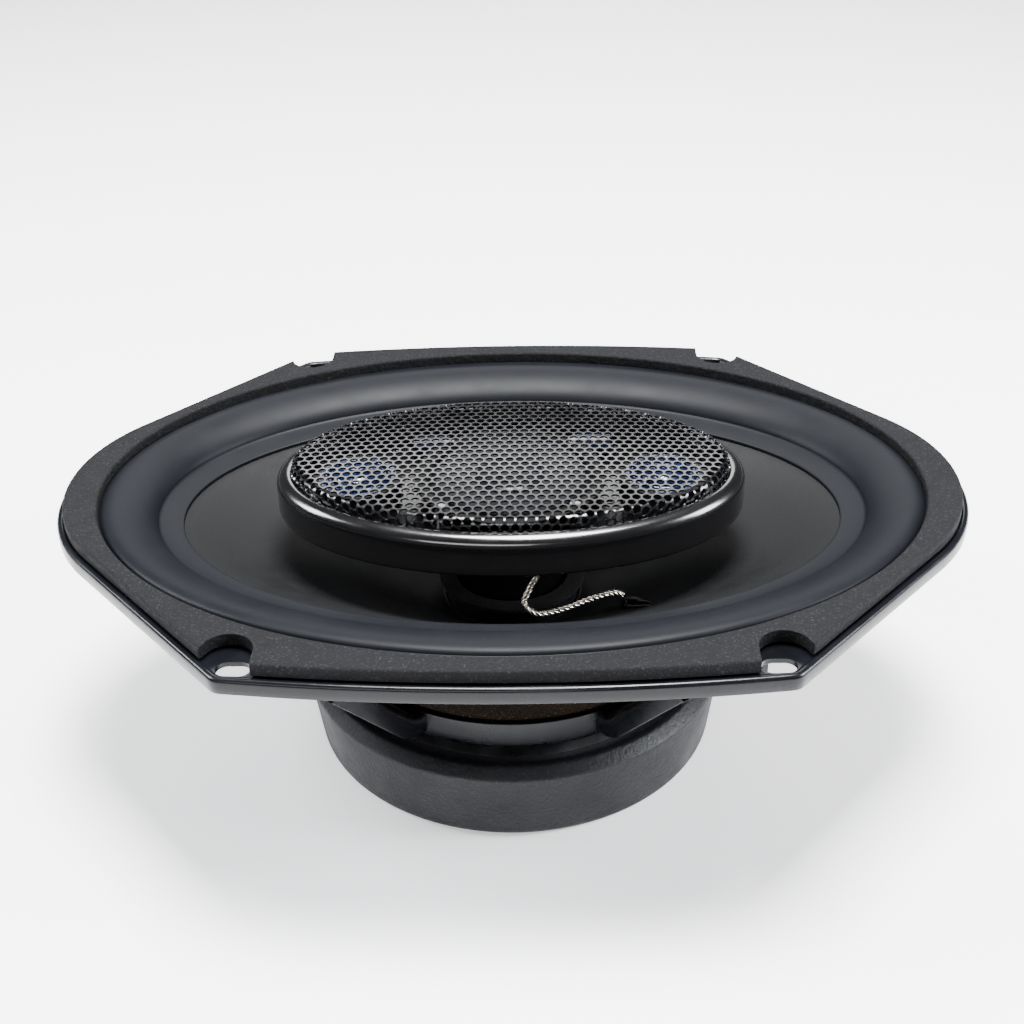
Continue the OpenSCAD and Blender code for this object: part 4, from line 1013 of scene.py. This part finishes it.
class SPEAKER_OT_pod(bpy.types.Operator):
    """Builds the pod's bezel and tub and its perforated grille"""
    bl_idname = "speaker.pod"
    bl_label = "Pod"

    def execute(self, context):
        a, b = high("pod_housing").x, high("pod_housing").y
        z0, z1 = low("pod_housing").z, high("pod_housing").z
        wide, tall = 3.5, 3.0  # of the rounded shoulder
        turn = np.linspace(0, math.pi / 2, 16)
        shoulder = [(wide * (1 - math.cos(t)), z1 - tall * (1 - math.sin(t))) for t in turn]
        profile = [(3.2, z0), (1.3, z0), (0.6, z0 + 0.15), (0.2, z0 + 0.5), (0, z0 + 1.1), (0, z0 + 3),
                   (0, z0 + 5.5)]
        profile += shoulder + [(3.75, z1 - 0.08), (3.9, z1 - 0.3), (3.9, z1 - 2.6), (5.4, z1 - 2.6),
                               (5.4, z0 + 1.6), (5.6, z0 + 1.5)]
        rows = [oval_row(a - d, b - d, z) for d, z in profile]
        rows += [oval_row(POD_HOLE, POD_HOLE, z0 + 1.5), oval_row(POD_HOLE, POD_HOLE, z0)]
        points, faces = rings(rows, True)
        pod = skin("pod_shell", points, faces, "pod_plastic")
        own(pod, "frame", "pod_plastic", "pod_housing")
        boss = [(0.95, z0 + 1.4), (2.2, z0 + 1.4), (2.2, z0 + 7.6), (0.95, z0 + 7.6)]
        bosses = turned("boss", boss, "pod_plastic", radius=0.2, count=24)
        mesh = bosses.data
        bpy.data.objects.remove(bosses)
        posts = run_tree("pod_bosses", circle_tree(), {
            "Count": 4, "Radius": BOSS_CIRCLE * MM, "Start": math.radians(45),
            "Material": bpy.data.materials["pod_plastic"]}, "pod_plastic", mesh)
        own(posts, "frame", "pod_plastic")

        g = context.scene.speaker_grille
        reach = (high("pod_grille").x * MM - g.bend, high("pod_grille").y * MM - g.bend)
        pan = run_tree("grille_pan", grille_tree(), {
            "Half Length": reach[0], "Half Width": reach[1], "Pitch": g.pitch, "Hole": g.hole, "Bend": g.bend,
            "Dome": g.dome, "Height": high("pod_grille").z * MM - g.dome, "Blank": BLANK_EDGE * MM,
            "Turn": g.turn, "Material": bpy.data.materials["grille_metal"]}, "grille_metal")
        solid = pan.modifiers.new("sheet", "SOLIDIFY")
        solid.thickness, solid.offset = g.sheet, -1
        settle(pan)
        shade(pan.data)
        own(pan, "frame", "grille_metal", "pod_grille")
        return {"FINISHED"}


# from the pod's post to the eyelet, and from the eyelet to the terminal
FRONT_ROUTE = [(5, -13.5, -4), (7.4, -18.6, -8.4), (5, -24, -11), (3.6, -27, -13.6), (7, -28, -16),
               (14, -26, -15.8), (21, -22.8, -14.9), (26.4, -21.2, -14.4), (29, -21, -15.3)]
REAR_ROUTE = [(30.6, -21.6, -21), (32, -22, -24.6), (38, -21.6, -27.6), (47, -19, -28.6), (55, -15.6, -27.4),
              (61, -13.8, -25.4), (62.6, -13.2, -24.6)]


class SPEAKER_OT_leads(bpy.types.Operator):
    """Builds the four braided leads along their routes"""
    bl_idname = "speaker.leads"
    bl_label = "Braided leads"

    def execute(self, context):
        sizes = context.scene.speaker_leads
        tree = lead_tree()
        # the last two numbers are how far out a lead would stay still, and where it would move fully with the
        # cone; the shares they set are not given to the lead
        for place, route, still, moving in (
                ("front", FRONT_ROUTE, 14.0, 35.0), ("rear", REAR_ROUTE, 64.0, 37.5)):
            for name, side in (("near", 1), ("far", -1)):
                path = curve_through([(x, side * y, z) for x, y, z in route], 16)
                mesh = bpy.data.meshes.new("path")
                mesh.from_pydata([tuple(p * MM) for p in path], [(i, i + 1) for i in range(len(path) - 1)], [])
                node = f"{place}_lead_{name}"
                lead = run_tree(node + "_braid", tree, {
                    "Diameter": sizes.diameter, "Twist": sizes.twist, "Strands": sizes.strands,
                    "Material": bpy.data.materials["copper_braid"]}, "copper_braid", mesh)

                def lead_share(p):
                    return ease((np.hypot(p[:, 0], p[:, 1]) - still) / (moving - still))

                stretches(lead, "frame", "cone", lead_share, "copper_braid", node)
        return {"FINISHED"}


MAGNET_BORE, YOKE_BORE = 52.1, 49.6  # the cover's inside round the magnet and round the yoke
YOKE_STEP = 13  # below the magnet's top


class SPEAKER_OT_motor(bpy.types.Operator):
    """Builds the magnet cover, the post, the rivets and the terminals"""
    bl_idname = "speaker.motor"
    bl_label = "Motor and terminals"

    def execute(self, context):
        bore, outer, yoke, hole = MAGNET_BORE, high("magnet_cover").x, YOKE_BORE, 20
        top, bottom = high("magnet_cover").z, low("magnet_cover").z
        yoke_top, yoke_bottom = high("magnet").z - YOKE_STEP, low("t_yoke").z
        cover = turned("cover_boot", [
            (hole, bottom, 0.6), (outer - 4.0, bottom, 1.0), (outer - 2.4, bottom + 1.6, 1.2),
            (outer, top - 2.6, 0.7), (outer - 3.2, top, 0.7), (bore, top, 0.4), (bore, yoke_top, 0.2),
            (yoke, yoke_top, 0.2), (yoke, yoke_bottom, 0.2), (hole, yoke_bottom, 0.4)],
            "cover_rubber", count=220, steps=5)
        own(cover, "frame", "cover_rubber", "magnet_cover")
        for node, name, width, body in (
                ("center_post", "post_body", 0.25, "frame"), ("post_bolt", "bolt", 0.3, "frame"),
                ("post_washer", "washer", 0.15, "frame"), ("terminal_board", "board", 0.2, "frame"),
                ("terminal_tabs", "blades", 0.15, "frame"), ("terminal_rivets", "board_rivets", 0.25, "frame"),
                ("basket_rivets", "motor_rivets", 0.35, "frame"), ("lead_eyelets", "eyelets", 0.1, "cone"),
                ("t_yoke", "yoke_body", 0.4, "frame")):
            slot = frame["nodes"][node].data.materials[0].name
            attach(softened(node, name, width, slot), body)
        return {"FINISHED"}


class SPEAKER_OT_stage(bpy.types.Operator):
    """Sets the floor, the lights and the camera"""
    bl_idname = "speaker.stage"
    bl_label = "Stage"

    def execute(self, context):
        s = context.scene.speaker_stage
        floor_mesh = bpy.data.meshes.new("floor")
        size, z = 6.0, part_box("magnet_cover")[0].z
        square = [(-size, -size, z), (size, -size, z), (size, size, z), (-size, size, z)]
        floor_mesh.from_pydata(square, [], [(0, 1, 2, 3)])
        floor = bpy.data.objects.new("floor", floor_mesh)
        context.scene.collection.objects.link(floor)
        pale = bpy.data.materials.new("floor_pale")
        pale.use_nodes = True
        Nodes(pale.node_tree).give(pale.node_tree.nodes["Principled BSDF"], Base_Color=(0.97, 0.97, 0.98, 1),
                                   Roughness=0.9, Emission_Color=(1, 1, 1, 1), Emission_Strength=0.5)
        floor_mesh.materials.append(pale)

        world = bpy.data.worlds.new("soft_room")
        world.use_nodes = True
        Nodes(world.node_tree).give(world.node_tree.nodes["Background"], Color=(0.95, 0.97, 1.0, 1),
                                    Strength=0.16)
        context.scene.world = world
        # name, place, aim, width, depth, share of the key light's strength, tint
        for name, place, aim, width, depth, power, tint in (
                ("top", (0.05, 0.05, 1.0), (0, 0, 0), 0.44, 0.36, 0.85, (1.0, 1.0, 1.0)),
                ("left", (-0.85, 0.08, 0.62), (-0.05, 0, 0), 0.32, 0.42, 0.28, (0.93, 0.96, 1.0)),
                ("right", (0.85, -0.10, 0.42), (0.05, 0, 0), 0.32, 0.42, 0.30, (0.93, 0.96, 1.0)),
                ("back", (0.0, 1.1, 0.72), (0, 0, 0), 0.9, 0.28, 0.09, (1.0, 1.0, 1.0)),
                ("front", (-0.2, -0.9, 0.5), (0, 0, -0.02), 0.6, 0.2, 0.05, (1.0, 1.0, 1.0))):
            light = bpy.data.lights.new(name, "AREA")
            light.shape, light.size, light.size_y = "RECTANGLE", width, depth
            light.energy, light.color = s.light * power, tint
            lamp = bpy.data.objects.new(name, light)
            context.scene.collection.objects.link(lamp)
            lamp.location = place
            lamp.rotation_euler = (Vector(aim) - Vector(place)).to_track_quat("-Z", "Y").to_euler()

        level = math.cos(s.elevation)
        back = Vector((math.sin(s.azimuth) * level, -math.cos(s.azimuth) * level, math.sin(s.elevation)))
        target = Vector((0.26, 0, -2.75)) * MM
        right = (-back).cross(Vector((0, 0, 1))).normalized()
        up = right.cross(-back).normalized()
        c, d = math.cos(s.roll), math.sin(s.roll)
        right, up = right * c + up * d, -right * d + up * c
        camera_data = bpy.data.cameras.new("camera")
        camera_data.lens, camera_data.sensor_width = s.lens, 36
        camera = bpy.data.objects.new("camera", camera_data)
        context.scene.collection.objects.link(camera)
        basis = Matrix((right, up, back)).transposed()
        camera.matrix_world = Matrix.Translation(target + back * s.distance) @ basis.to_4x4()
        context.scene.camera = camera
        return {"FINISHED"}


GROUPS = (("speaker_flange", SpeakerFlange), ("speaker_surround", SpeakerSurround),
          ("speaker_grille", SpeakerGrille), ("speaker_leads", SpeakerLeads),
          ("speaker_colours", SpeakerColours), ("speaker_stage", SpeakerStage))
STEPS = (SPEAKER_OT_stage, SPEAKER_OT_finishes, SPEAKER_OT_basket, SPEAKER_OT_gasket, SPEAKER_OT_suspension,
         SPEAKER_OT_cone, SPEAKER_OT_pod, SPEAKER_OT_leads, SPEAKER_OT_motor)


class SPEAKER_PT_build(bpy.types.Panel):
    bl_label = "Speaker"
    bl_idname = "SPEAKER_PT_build"
    bl_space_type = "VIEW_3D"
    bl_region_type = "UI"
    bl_category = "Speaker"

    def draw(self, context):
        for group, kind in GROUPS:
            box = self.layout.box()
            for key in kind.__annotations__:
                box.prop(getattr(context.scene, group), key)
        for step in STEPS:
            self.layout.operator(step.bl_idname)


def register():
    for group, kind in GROUPS:
        bpy.utils.register_class(kind)
        setattr(bpy.types.Scene, group, PointerProperty(type=kind))
    for step in STEPS:
        bpy.utils.register_class(step)
    bpy.utils.register_class(SPEAKER_PT_build)


def unregister():
    bpy.utils.unregister_class(SPEAKER_PT_build)
    for step in reversed(STEPS):
        bpy.utils.unregister_class(step)
    for group, kind in reversed(GROUPS):
        delattr(bpy.types.Scene, group)
        bpy.utils.unregister_class(kind)


def main():
    register()
    bpy.ops.speaker.stage()
    bpy.ops.speaker.finishes()
    bpy.ops.speaker.basket()
    bpy.ops.speaker.gasket()
    bpy.ops.speaker.suspension()
    bpy.ops.speaker.cone()
    bpy.ops.speaker.pod()
    bpy.ops.speaker.leads()
    bpy.ops.speaker.motor()


if __name__ == "__main__":
    main()
